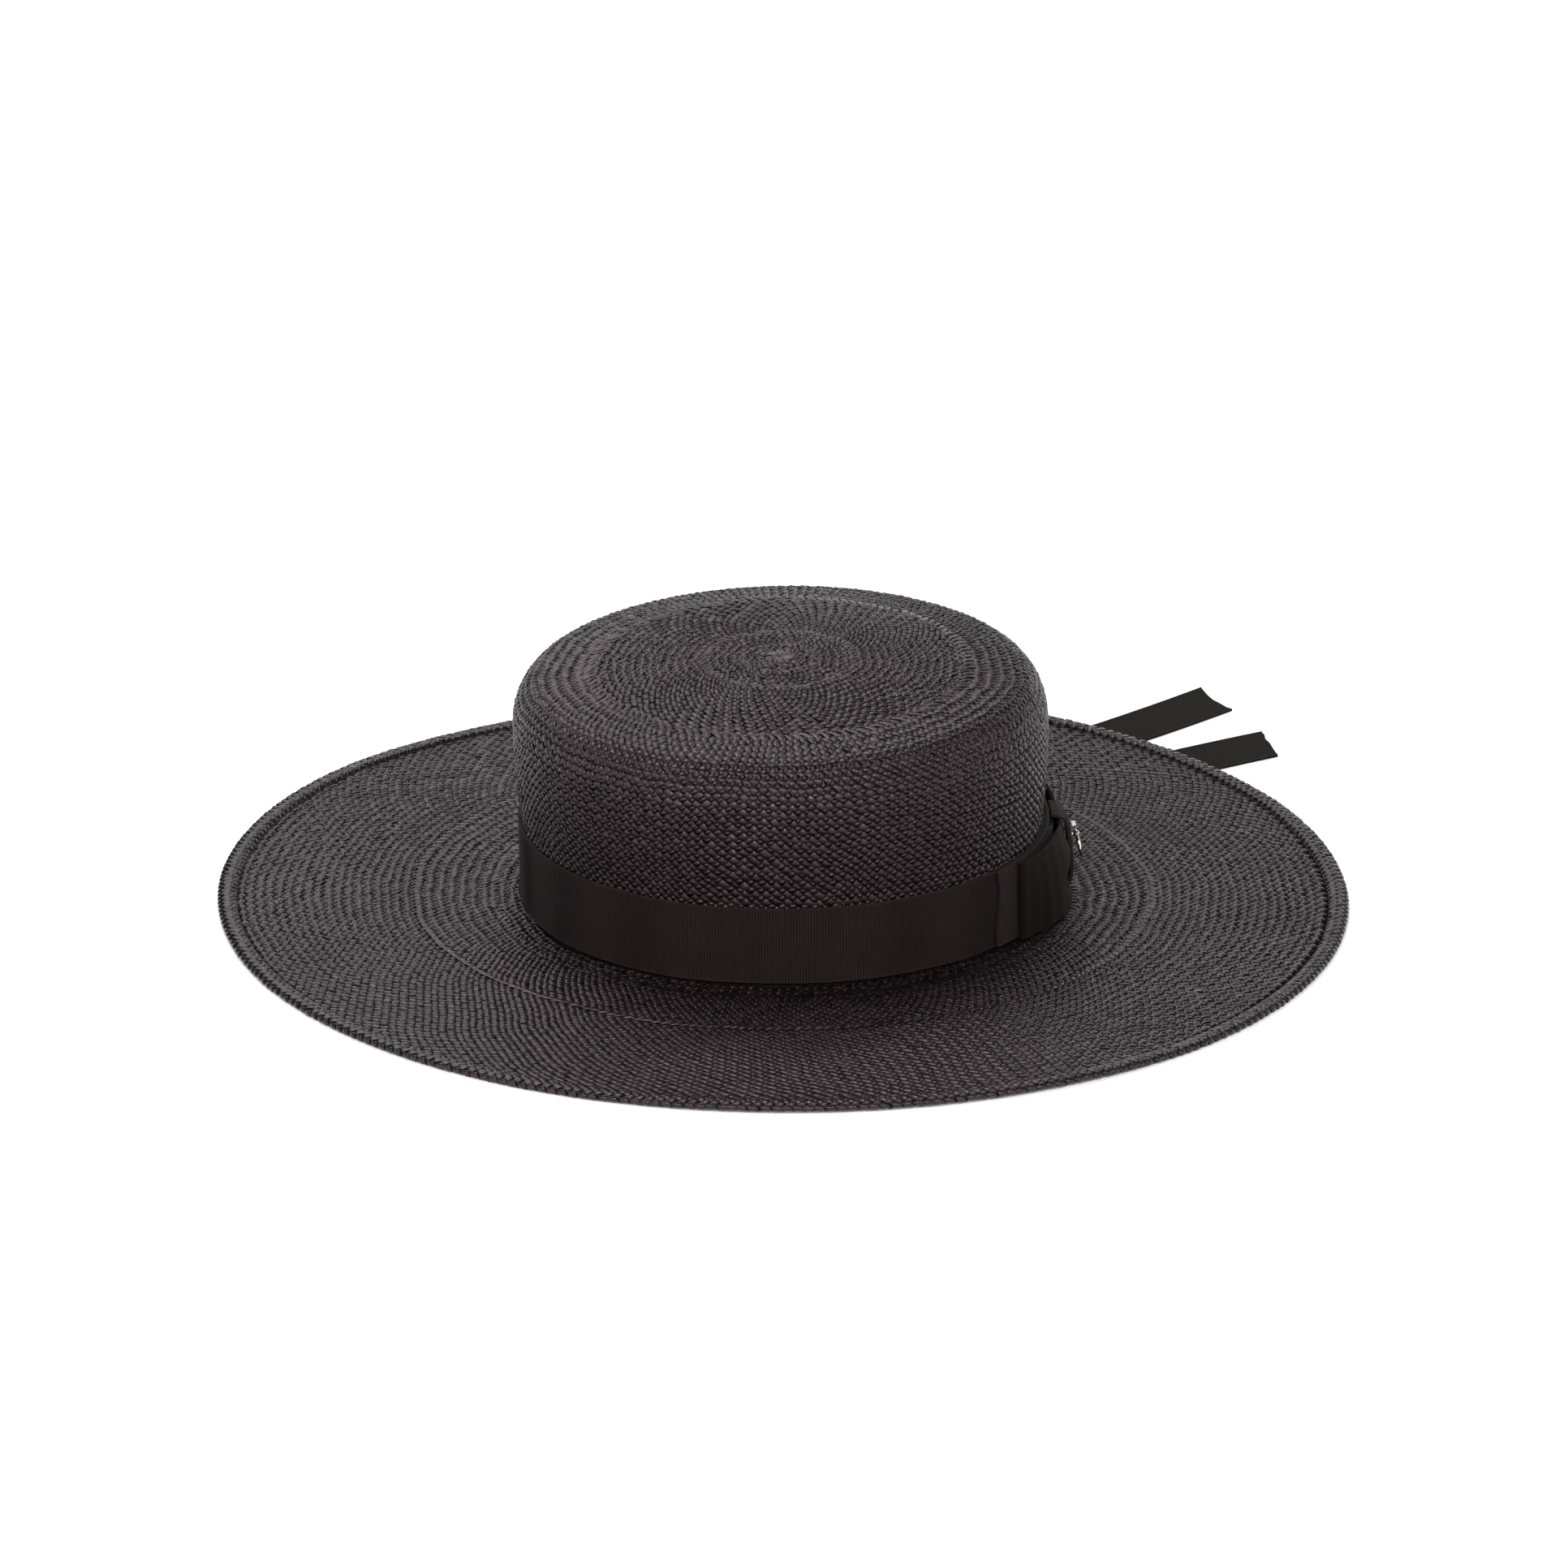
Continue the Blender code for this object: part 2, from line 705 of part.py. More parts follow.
def build():
    """Model the hat."""
    for old in list(bpy.data.objects):
        bpy.data.objects.remove(old, do_unlink=True)
    hat = new_collection("straw_hat")
    cutters = new_collection("brooch_shapes")
    parts = [
        woven_body(hat),
        hat_band(hat),
        bow_under_layer(hat),
        bow_loop("bow_front_loop", -1.0, hat),
        bow_loop("bow_rear_loop", 1.0, hat),
        bow_knot(hat),
        brooch(hat, cutters),
    ]
    for row in TIE_ROWS:
        parts.append(ribbon_tie(*row, hat))
    middle_x, middle_y = outline_middle(parts)
    axis = bpy.data.objects.new("crown_axis", None)
    hat.objects.link(axis)
    axis.location = (-middle_x, -middle_y, 0.0)
    for part in parts:
        part.parent = axis


build()
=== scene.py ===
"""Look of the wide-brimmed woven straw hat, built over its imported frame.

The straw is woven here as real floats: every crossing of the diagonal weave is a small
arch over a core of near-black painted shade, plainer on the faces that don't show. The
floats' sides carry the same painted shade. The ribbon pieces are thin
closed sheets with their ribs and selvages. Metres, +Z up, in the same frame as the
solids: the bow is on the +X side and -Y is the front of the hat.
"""

import math

import bpy
import numpy as np
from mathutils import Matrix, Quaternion, Vector


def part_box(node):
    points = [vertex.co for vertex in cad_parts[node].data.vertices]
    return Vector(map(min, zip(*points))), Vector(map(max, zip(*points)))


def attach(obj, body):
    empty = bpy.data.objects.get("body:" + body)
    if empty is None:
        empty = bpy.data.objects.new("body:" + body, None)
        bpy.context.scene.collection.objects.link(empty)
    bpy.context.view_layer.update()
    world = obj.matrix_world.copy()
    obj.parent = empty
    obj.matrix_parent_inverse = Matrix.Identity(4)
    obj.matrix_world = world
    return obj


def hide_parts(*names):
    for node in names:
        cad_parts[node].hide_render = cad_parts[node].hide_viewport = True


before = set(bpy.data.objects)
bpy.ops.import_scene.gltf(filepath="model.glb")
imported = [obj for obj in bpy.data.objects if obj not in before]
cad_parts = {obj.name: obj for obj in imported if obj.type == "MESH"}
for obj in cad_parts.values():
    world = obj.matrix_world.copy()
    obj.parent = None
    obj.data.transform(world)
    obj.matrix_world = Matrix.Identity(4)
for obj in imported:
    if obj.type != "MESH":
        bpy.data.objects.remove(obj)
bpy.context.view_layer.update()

MM = 0.001
TURN = 2.0 * math.pi

# Sizes of the hat, as in the part's source
STRAW = 1.5 * MM
RIBBON = 1.0 * MM
GAP = 0.3 * MM
CROWN_RADIUS = 91.5 * MM
CROWN_SWELL = 2.1 * MM
OVAL_EXTRA = 2.8 * MM
RIM_HEIGHT = 84.2 * MM
RIM_ACROSS = 11.8 * MM
RIM_DOWN = 17.2 * MM
TIP_DOME = 5.0 * MM
TIP_RISE_BACK = 2.0 * MM
TIP_RISE_BOW = 2.2 * MM
TIP_LEAN = 1.8 * MM
BRIM_RADIUS = 199.3 * MM
HEM_THICKNESS = 2.8 * MM
HEM_WIDTH = 7.0 * MM
HEM_STEP = 1.0 * MM
BRIM_UNDERSIDE = 0.35 * MM
BREAK_FILLET = 0.8 * MM
EDGE_LIFT = 3.4 * MM
BREAK_LIFT = 1.8 * MM
BAND_HEIGHT = 28.0 * MM
BOW_AZIMUTH = 4.0
BOW_DEPTH = 10.0 * MM
LOOP_REACH = 34.0
LAYER_REACH = 41.0
LOOP_PINCH = 2.8 * MM
PINCH_START = 0.12
PINCH_END = 0.42
FOLD_RADIUS = 0.8 * MM
KNOT_WIDTH = 13.4 * MM
KNOT_CROWN = 0.05
TIE_WIDTH = 24.0 * MM
TIE_LENGTH = 176.0 * MM
TIE_TAB = 18.0 * MM
TIE_BEND = 3.4 * MM
TIE_REST = 0.05 * MM
TIE_EASE = 1.0 / 3.0
FACETS = 60

# Azimuth in degrees, share of EDGE_LIFT at the hem, share of BREAK_LIFT at the break
BRIM_WAVES = (
    (0.0, 0.30, 0.15), (30.0, 0.55, 0.50), (60.0, 0.80, 0.80), (90.0, 0.00, 1.00),
    (120.0, 0.00, 0.95), (150.0, 0.52, 0.45), (180.0, 0.45, 0.05), (210.0, 0.00, 0.05),
    (240.0, 0.00, 0.30), (270.0, 0.22, 0.95), (300.0, 0.24, 0.95), (315.0, 0.00, 0.70),
    (345.0, 0.00, 0.25), (360.0, 0.30, 0.15),
)

# Share of the wall's height, share of CROWN_SWELL
WALL_ROWS = ((0.00, 0.00), (0.45, 0.00), (0.56, 0.35), (0.70, 0.75), (0.84, 0.97), (1.00, 1.00))

# Share of a loop's reach, then its stand-off from the band at four levels
LOOP_ROWS = (
    (0.06, 0.58, 0.46, 0.64, 0.46),
    (0.12, 0.66, 0.48, 0.72, 0.48),
    (0.18, 0.80, 0.52, 0.82, 0.50),
    (0.27, 0.90, 0.64, 0.84, 0.52),
    (0.38, 0.90, 0.78, 0.80, 0.50),
    (0.53, 0.84, 0.80, 0.72, 0.47),
    (0.68, 0.71, 0.70, 0.61, 0.43),
    (0.82, 0.54, 0.53, 0.49, 0.40),
    (0.93, 0.42, 0.41, 0.40, 0.38),
)
LOOP_LEVELS = (0.0, 0.24, 0.52, 1.0)

# Front of the knot: share of the band's height, share of BOW_DEPTH
KNOT_ROWS = (
    (1.00, 0.22), (0.99, 0.46), (0.95, 0.66), (0.86, 0.79), (0.70, 0.86), (0.52, 0.91),
    (0.34, 0.94), (0.18, 0.93), (0.08, 0.84), (0.03, 0.64), (0.02, 0.44), (0.02, 0.22),
)

# Name, azimuth, first and last heading in degrees, share of TIE_LENGTH, slope of the cut,
# hollow of the cut and its raggedness in mm
TIE_ROWS = (
    ("ribbon_tie_rear", 71.0, 36.0, 47.0, 1.006, 0.43, 2.2, 0.15),
    ("ribbon_tie_side", 49.0, 40.5, 31.2, 0.836, 0.38, 0.0, 0.25),
)

BRIM_TOP = BRIM_UNDERSIDE + STRAW
FILLET_RADIUS = CROWN_RADIUS + BREAK_FILLET
FILLET_HEIGHT = BRIM_TOP + BREAK_FILLET
BAND_BOTTOM = FILLET_HEIGHT + GAP
BAND_OUTER = CROWN_RADIUS + GAP + RIBBON
LAYER_MIDDLE = BAND_OUTER + GAP + RIBBON / 2
LEAF_MIDDLE = LAYER_MIDDLE + RIBBON + GAP
FOLD_LINE = CROWN_RADIUS * math.cos(math.pi / FACETS) - STRAW - GAP - RIBBON / 2 + TIE_BEND
HEM_START = BRIM_RADIUS - HEM_WIDTH

# The crown's axis on the surface, halfway between the woven body's sides
LOW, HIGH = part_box("woven_body")
AXIS = Vector(((LOW[0] + HIGH[0]) / 2, (LOW[1] + HIGH[1]) / 2, 0.0))

# Straw: where its core, near-black painted shade, lies below the woven faces, how high the
# floats stand, where the floats of rings and of the star start, and points round the core
CORE_DEPTH = 0.50 * MM
FLOAT_RISE = 0.78 * MM
INNER_RISE = 0.50 * MM
RING_BASE = -CORE_DEPTH + 0.16 * MM
STAR_BASE = -CORE_DEPTH + 0.6 * MM
CORE_AROUND = 128

# Woven zones of the outer face: piece, segment and size where the zone starts, segment
# and size where it ends, strands of each family, row pitch in mm at the start and farther on
OUTER_ZONES = (
    ("tip_weave", "tip", 3.6, "tip", 7.0, 12, 3.0, 3.0),
    ("tip_weave", "tip", 7.0, "tip", 13.0, 24, 3.0, 3.0),
    ("tip_weave", "tip", 13.0, "tip", 26.5, 50, 3.0, 3.0),
    ("tip_weave", "tip", 26.5, "tip", 66.0, 93, 3.3, 3.0),
    ("wall_weave", "tip", 66.0, "wall", 29.0, 172, 4.9, 3.1),
    ("brim_inner_weave", "brim", 92.4, "brim", 102.0, 186, 3.6, 3.6),
    ("brim_inner_weave", "brim", 102.0, "brim", 130.0, 250, 4.4, 3.9),
    ("brim_outer_weave", "brim", 131.0, "brim", 191.2, 250, 3.2, 3.35),
)

# The same for the plainer weave of the hidden faces
INNER_ZONES = (
    ("brim_underside_weave", "hem_under", 193.6, "under", 130.0, 250, 3.8, 3.8),
    ("brim_underside_weave", "under", 130.0, "under", 102.0, 250, 4.4, 4.4),
    ("brim_underside_weave", "under", 102.0, "under", 94.0, 186, 3.6, 3.6),
    ("crown_inside_weave", "wall_in", 2.8, "tip_in", 66.0, 172, 3.8, 3.8),
    ("crown_inside_weave", "tip_in", 66.0, "tip_in", 26.5, 93, 3.4, 3.4),
    ("crown_inside_weave", "tip_in", 26.5, "tip_in", 13.0, 50, 3.0, 3.0),
    ("crown_inside_weave", "tip_in", 13.0, "tip_in", 7.0, 24, 3.0, 3.0),
    ("crown_inside_weave", "tip_in", 7.0, "tip_in", 3.6, 12, 3.0, 3.0),
)

# Rings where strands were added: piece, segment, radius in mm, floats, their length and
# width in mm, lean in degrees and tone
GROWTH_ROWS = (
    ("tip_weave", "tip", 7.2, 16, 3.2, 1.7, 60.0, 1.1),
    ("tip_weave", "tip", 13.0, 30, 3.6, 2.0, 60.0, 1.0),
    ("tip_weave", "tip", 26.5, 62, 4.2, 2.2, 60.0, 1.6),
    ("tip_weave", "tip", 66.0, 128, 6.4, 2.1, 58.0, 1.8),
    ("brim_inner_weave", "brim", 102.0, 218, 4.2, 2.1, 60.0, 1.0),
    ("brim_inner_weave", "brim", 130.0, 250, 4.0, 1.9, 160.0, 1.7),
)

# Star in the middle of the tip: part of a step that a ring is turned, reach in mm, floats.
# Then the floats' length and width in mm and lean in degrees, and their tone, far lighter
# than the straw: mostly a painted highlight
STAR_ROWS = ((0.0, 3.0, 17), (0.5, 1.6, 9))
STAR_FLOAT = (4.4, 1.0, 90.0)
STAR_HIGHLIGHT_TONE = 8.0

# Hem: radius in mm of the point for the top rows, and cells in a row. Then the point that
# a row lies off, how far past it, length and width in mm, lean in degrees, part of a step
# that it is turned, tone, rise
HEM_TOP = 193.6
HEM_CELLS = 342
HEM_ROWS = (
    ("top", -0.2, 2.7, 2.7, 118.0, 0.5, 0.9, 0.9 * FLOAT_RISE),
    ("top", 1.4, 3.0, 2.9, 58.0, 0.0, 1.0, 0.8 * FLOAT_RISE),
    ("top", 3.0, 3.1, 2.9, 122.0, 0.5, 1.1, 0.8 * FLOAT_RISE),
    ("edge", -0.1, 3.3, 2.9, 58.0, 0.0, 1.0, 0.8 * FLOAT_RISE),
    ("under", 0.8, 3.3, 2.9, 122.0, 0.5, 0.7, CORE_DEPTH),
)

# Machine stitches inside the hem: how many. Then length and width in mm, lean in degrees,
# base, rise and tone
SEAM_STITCHES = 400
SEAM_STITCH = (2.9, 0.42, 1.5, -0.38 * MM, 0.16 * MM, 0.3)

# Ribbons: pitch of the ribs and of the weft in mm, width in mm and height of the selvage,
# depth of the band's and the ties' ribs, of the ties' teeth and of the knot's pleats
RIB = 1.0
WEFT = 0.42
SELVAGE_WIDTH = 0.9
SELVAGE = 0.05 * MM
BAND_RELIEF = 0.26 * MM
TIE_RELIEF = 0.04 * MM
TIE_TEETH = 0.5 * MM
KNOT_PLEATS = 0.22 * MM
TIE_THICKNESS = RIBBON - 0.4 * MM

# Waves in the bow layer's cut ends: where they start and the way that they take, as shares
# of its reach. Then their size in degrees, pace and start over its height
LAYER_END = (0.82, 0.18)
LAYER_WAVE = (0.6, 6.2, 0.6)

# Knot: pleats on either side of its middle, depth where they start and the way they take
PLEATS = 4.0
PLEAT_START = (0.4, 0.3)

# Ragged cut of a tie: its two paces, and how much its azimuth turns the first
RAGGED_PACES = (2.1, 3.7)
RAGGED_TURN = 9.0

# Ribs of the band, points across the band and across a tie, length of a tie's steps
BAND_RIBS = 576
BAND_LEVELS = (0.0, 0.04, 0.3, 0.7, 0.96, 1.0)
TIE_SHARES = (0.0, 0.03, 0.12, 0.3, 0.5, 0.7, 0.88, 0.97, 1.0)
TIE_STEP = 0.30 * MM

# Angles from which an edge is drawn sharp
FLOAT_CREASE = math.radians(100.0)
RIBBON_CREASE = math.radians(60.0)

# Front of the brim, pressed flatter: share taken off, reach to either side in radians,
# radius where it starts and the way that it takes
FRONT = -math.pi / 2
PRESS_SHARE = 0.65
PRESS_REACH = 0.60
PRESS_START = 0.105
PRESS_FADE = 0.03

# Dyes, dark and light; the fourth pair is no dye but painted shade, dark and light, for the core
# and the floats' sides
STRAW_DYE = ((0.0022, 0.0013, 0.0015), (0.0098, 0.0062, 0.0070))
INSIDE_DYE = ((0.0050, 0.0035, 0.0040), (0.0180, 0.0128, 0.0142))
THREAD_DYE = ((0.006, 0.0052, 0.0054), (0.014, 0.0122, 0.0126))
PAINTED_SHADOW_COLOURS = ((0.0035, 0.0030, 0.0031), (0.0095, 0.0080, 0.0083))
BAND_DYE = ((0.0052, 0.0035, 0.0038), (0.0165, 0.0115, 0.0122))
LAYER_DYE = ((0.0058, 0.0037, 0.0039), (0.0175, 0.0115, 0.0122))
LOOP_DYE = ((0.0050, 0.0031, 0.0033), (0.0105, 0.0068, 0.0072))
KNOT_DYE = ((0.0055, 0.0034, 0.0037), (0.0150, 0.0098, 0.0104))
TIE_DYE = ((0.0040, 0.0025, 0.0027), (0.0100, 0.0065, 0.0069))

# Painted shade at a float's edges, where it goes dark across and along: shares of its
# colour, and from and to in pitches. Then where its dome ends
PAINTED_SHADE_ACROSS = (1.0, 0.15, 0.41, 0.48)
PAINTED_SHADE_ALONG = (1.0, 0.10, 0.34, 0.54)
DOME_EDGE = 0.43


def smooth(share):
    """Ease shares between 0 and 1 in and out."""
    share = np.clip(share, 0.0, 1.0)
    return share * share * (3.0 - 2.0 * share)


def between(rows, key, column):
    """Ease between the rows of a table that is sorted by its first column."""
    keys, values = np.array(rows)[:, (0, column)].T
    low = np.clip(np.searchsorted(keys, key, side="right") - 1, 0, len(keys) - 2)
    share = smooth((key - keys[low]) / (keys[low + 1] - keys[low]))
    return values[low] + (values[low + 1] - values[low]) * share


def lift(azimuth, radius, height):
    """Height that the brim's waves add, fading out up the crown."""
    outward = smooth((radius - FILLET_RADIUS) / (HEM_START - FILLET_RADIUS))
    degrees = np.degrees(azimuth) % 360.0
    edge = EDGE_LIFT * between(BRIM_WAVES, degrees, 1)
    foot = BREAK_LIFT * between(BRIM_WAVES, degrees, 2)
    fade = 1.0 - np.clip((height - BRIM_TOP) / (RIM_HEIGHT - BRIM_TOP), 0.0, 1.0)
    return (foot + (edge - foot) * outward) * fade


def settle(azimuth, radius, height):
    """Points of the round hat moved to the oval, waved and leaning hat."""
    azimuth, radius, height = np.broadcast_arrays(azimuth, radius, height)
    stretch = OVAL_EXTRA * np.minimum(radius / CROWN_RADIUS, 1.0)
    up = height / RIM_HEIGHT
    x = np.cos(azimuth) * radius - TIP_LEAN * up
    y = np.sin(azimuth) * (radius + stretch)
    tip = (TIP_RISE_BOW * x + TIP_RISE_BACK * y) / CROWN_RADIUS * up * up
    z = height + lift(azimuth, radius, height) + tip
    return np.stack((x + AXIS.x, y + AXIS.y, z), axis=-1)


# Path once round the straw: up over the outside, round the hem and back inside

def crown_path(inset):
    """Tip, rim, wall and fillet of the crown as (name, radii, heights), moved in by `inset`."""
    across = RIM_ACROSS - inset
    down = RIM_DOWN - inset
    centre = CROWN_RADIUS + CROWN_SWELL - RIM_ACROSS
    level = RIM_HEIGHT - RIM_DOWN
    start = math.atan2(down, across * 2.0 * TIP_DOME / centre)
    join_radius = centre + across * math.cos(start)
    join_height = level + down * math.sin(start)
    share = np.linspace(0.0, 1.0, 120)
    angle = np.linspace(start, 0.0, 40)
    drop = np.linspace(1.0, 0.0, 80)
    bend = BREAK_FILLET + inset
    turn = np.radians(np.linspace(0.0, 90.0, 12))
    swell = np.interp(drop, *np.array(WALL_ROWS).T)
    soft = np.convolve(np.pad(swell, 4, mode="edge"), np.ones(9) / 9.0, mode="valid")
    return [
        ("tip", join_radius * share, join_height + TIP_DOME * (1.0 - share * share)),
        ("rim", centre + across * np.cos(angle), level + down * np.sin(angle)),
        ("wall", CROWN_RADIUS + CROWN_SWELL * soft - inset,
         FILLET_HEIGHT + (level - FILLET_HEIGHT) * drop),
        ("fillet", FILLET_RADIUS - bend * np.cos(turn), FILLET_HEIGHT - bend * np.sin(turn)),
    ]


def whole_path():
    """Every segment of the path, in order."""
    half = HEM_THICKNESS / 2
    turn = np.radians(np.linspace(90.0, -90.0, 24))
    step = np.linspace(0.0, 1.0, 8)
    brim = np.linspace(FILLET_RADIUS, HEM_START, 120)
    flat = np.linspace(HEM_START + HEM_STEP, BRIM_RADIUS - half, 12)[1:]
    rise_radius = HEM_START + HEM_STEP * step
    hem_radius = np.concatenate((rise_radius, flat))
    hem_rise = np.concatenate((smooth(step), np.ones(len(flat))))
    path = crown_path(0.0) + [
        ("brim", brim, np.full_like(brim, BRIM_TOP)),
        ("hem_top", hem_radius, BRIM_TOP + (HEM_THICKNESS - BRIM_TOP) * hem_rise),
        ("hem_edge", BRIM_RADIUS - half + half * np.cos(turn), half + half * np.sin(turn)),
        ("hem_under", hem_radius[::-1], BRIM_UNDERSIDE * (1.0 - hem_rise[::-1])),
        ("under", brim[::-1], np.full_like(brim, BRIM_UNDERSIDE)),
    ]
    for name, radii, heights in reversed(crown_path(STRAW)):
        path.append((name + "_in", radii[::-1], heights[::-1]))
    return path


class Path:
    """The path by its length: radius, height and the direction out of the straw."""

    def __init__(self, segments):
        radii, heights, self.segments = [], [], {}
        for name, segment_radii, segment_heights in segments:
            skip = 1 if radii else 0
            first = len(radii) - skip
            radii += list(segment_radii[skip:])
            heights += list(segment_heights[skip:])
            self.segments[name] = (first, len(radii))
        self.radius = np.array(radii)
        self.height = np.array(heights)
        steps = np.hypot(np.diff(self.radius), np.diff(self.height))
        self.length = np.concatenate(([0.0], np.cumsum(steps)))
        slope_r = np.gradient(self.radius, self.length)
        slope_z = np.gradient(self.height, self.length)
        size = np.hypot(slope_r, slope_z)
        self.out_r = -slope_z / size
        self.out_z = slope_r / size

    def at(self, name, size):
        """Length at which a segment reaches a radius, or a height on a wall, in mm."""
        first, last = self.segments[name]
        values = self.height if name.startswith("wall") else self.radius
        part = values[first:last]
        lengths = self.length[first:last]
        order = np.argsort(part)
        return float(np.interp(size * MM, part[order], lengths[order]))

    def place(self, azimuth, along, out):
        """Points at an azimuth, a length along the path and a distance out of the straw."""
        rows = (self.radius, self.height, self.out_r, self.out_z)
        radius, height, out_r, out_z = (np.interp(along, self.length, row) for row in rows)
        return settle(azimuth, radius + out * out_r, height + out * out_z)


PATH = Path(whole_path())
RNG = np.random.default_rng(7)


# Nodes and materials

class Look:
    """Nodes of a material or of the world."""

    def __init__(self, name, kind="materials", shader="Principled BSDF"):
        self.made = getattr(bpy.data, kind).new(name)
        self.made.use_nodes = True
        self.tree = self.made.node_tree
        self.shader = self.tree.nodes[shader]

    def put(self, socket, value):
        if isinstance(value, bpy.types.NodeSocket):
            self.tree.links.new(value, socket)
        else:
            socket.default_value = value

    def node(self, kind, values=(), settings=(), **inputs):
        """Outputs of a new node, given its first inputs or named ones."""
        made = self.tree.nodes.new(kind)
        for key, value in dict(settings).items():
            setattr(made, key, value)
        for socket, value in zip(made.inputs, values):
            self.put(socket, value)
        for key, value in inputs.items():
            self.put(made.inputs[key], value)
        return made.outputs

    def math(self, operation, *values):
        return self.node("ShaderNodeMath", values, {"operation": operation})[0]

    def times(self, first, second):
        return self.math("MULTIPLY", first, second)

    def plus(self, first, second):
        return self.math("ADD", first, second)

    def ramp(self, value, low, high, start=0.0, end=1.0):
        return self.node("ShaderNodeMapRange", (value, start, end, low, high),
                         {"interpolation_type": "SMOOTHSTEP"})[0]

    def attribute(self, name):
        return self.node("ShaderNodeAttribute", (), {"attribute_name": name})

    def split(self, vector):
        return self.node("ShaderNodeSeparateXYZ", (vector,))

    def join(self, x, y, z):
        return self.node("ShaderNodeCombineXYZ", (x, y, z))[0]

    def place(self, kind="Object"):
        return self.node("ShaderNodeTexCoord")[kind]

    def noise(self, vector, scale, detail):
        return self.node("ShaderNodeTexNoise", Vector=vector, Scale=scale, Detail=detail)["Fac"]

    def blend(self, share, first, second):
        return self.node("ShaderNodeMix", (), {"data_type": "RGBA"}, Factor=share,
                         A=(*first, 1.0), B=(*second, 1.0))["Result"]

    def scale(self, colour, share):
        return self.node("ShaderNodeVectorMath", (), {"operation": "SCALE"}, Vector=colour,
                         Scale=share)[0]

    def bump(self, height, strength, distance, **onto):
        return self.node("ShaderNodeBump", Height=height, Strength=strength,
                         Distance=distance, **onto)["Normal"]

    def set(self, **inputs):
        for key, value in inputs.items():
            if isinstance(value, tuple):
                value = (*value, 1.0)
            self.put(self.shader.inputs[key.replace("_", " ")], value)
        return self.made


def straw_look(name, dark, light, roughness):
    """Dyed straw: strand to strand colour, lengthwise fibres, edges darkened by painted shade."""
    look = Look(name)
    across, along, chance = look.split(look.attribute("strand")["Vector"])
    tone = look.attribute("tone")["Fac"]
    streak_place = look.join(
        look.times(across, 7.0), look.times(along, 0.9), look.times(chance, 90.0))
    streaks = look.noise(streak_place, 1.6, 3.0)
    mottle = look.noise(look.place(), 55.0, 3.0)
    strand = look.times(look.math("SUBTRACT", chance, 0.5), 0.5)
    share = look.plus(look.times(streaks, 0.55), look.times(mottle, 0.25))
    share = look.plus(share, strand)
    colour = look.blend(look.ramp(share, 0.0, 1.0, 0.15, 0.75), dark, light)
    side = look.math("ABSOLUTE", across)
    end = look.math("ABSOLUTE", along)
    # Painted shade: each float's colour darkens towards its sides and ends
    painted_edge_shade = look.times(look.ramp(side, *PAINTED_SHADE_ACROSS), look.ramp(end, *PAINTED_SHADE_ALONG))
    shade = look.times(painted_edge_shade, tone)
    dull = look.times(chance, 0.10)
    dull = look.math("MULTIPLY_ADD", look.math("SUBTRACT", 1.0, painted_edge_shade), 0.35, dull)
    gloss = look.ramp(streaks, roughness - 0.07, roughness + 0.08, 0.3, 0.7)
    domes = [look.math("POWER", look.math("DIVIDE", way, DOME_EDGE), 2.5) for way in (side, end)]
    dome = look.times(look.plus(*domes), -1.0)
    domed = look.bump(dome, 1.0, 0.11 * MM)
    fine = look.bump(streaks, 0.8, 0.09 * MM, Normal=domed)
    grain = look.noise(look.place(), 2600.0, 2.0)
    normal = look.bump(grain, 0.25, 0.04 * MM, Normal=fine)
    return look.set(
        Base_Color=look.scale(colour, shade),
        Roughness=look.plus(gloss, dull),
        Normal=normal,
        Specular_IOR_Level=0.42,
        Specular_Tint=(1.0, 0.80, 0.86),
    )


def shadow_look(name):
    """Painted shade: near-black straw without gloss, between the floats and down their sides."""
    look = Look(name)
    mottle = look.noise(look.place(), 420.0, 3.0)
    return look.set(
        Base_Color=look.blend(mottle, *PAINTED_SHADOW_COLOURS),
        Roughness=look.ramp(mottle, 0.85, 1.0),
        Normal=look.bump(mottle, 0.4, 0.1 * MM),
        Specular_IOR_Level=0.0,
    )


def ribbon_look(name, dark, light, rib_strength, rib_share=0.45, gloss=0.16):
    """Ribbed ribbon: ribs across its length, fine threads, thin selvages, a soft sheen."""
    look = Look(name)
    length, level, depth = look.split(look.attribute("ribbon")["Vector"])
    wave = look.math("SINE", look.times(length, TURN / RIB))
    ribs = look.ramp(wave, 0.0, 1.0, -0.9, 0.8)
    threads = look.noise(look.join(look.times(length, 5.0), level, 0.0), 2.2, 2.0)
    mottle = look.noise(look.place(), 160.0, 3.0)
    share = look.plus(look.times(ribs, rib_share), look.times(threads, 0.35))
    share = look.plus(share, look.times(mottle, 0.30))
    colour = look.blend(look.ramp(share, 0.0, 1.0, 0.2, 0.95), dark, light)
    edge = look.ramp(depth, 1.35, 1.0, 0.0, SELVAGE_WIDTH)
    normal = look.bump(ribs, rib_strength, 0.16 * MM)
    weft = look.math("SINE", look.times(level, TURN / WEFT))
    weft = look.plus(weft, look.times(threads, 2.0))
    normal = look.bump(weft, 0.25, 0.03 * MM, Normal=normal)
    return look.set(
        Base_Color=look.scale(colour, edge),
        Roughness=look.ramp(threads, 0.72, 0.92),
        Normal=normal,
        Sheen_Weight=0.02,
        Sheen_Roughness=0.45,
        Specular_IOR_Level=gloss,
        Specular_Tint=(1.0, 0.78, 0.82),
    )


def metal_look():
    """Polished pale metal with faint handling marks."""
    look = Look("brooch_metal")
    marks = look.noise(look.place(), 900.0, 4.0)
    return look.set(
        Base_Color=look.blend(marks, (0.62, 0.60, 0.57), (0.86, 0.84, 0.80)),
        Metallic=1.0,
        Roughness=look.ramp(marks, 0.10, 0.24),
        Normal=look.bump(marks, 0.08, 0.02 * MM),
    )


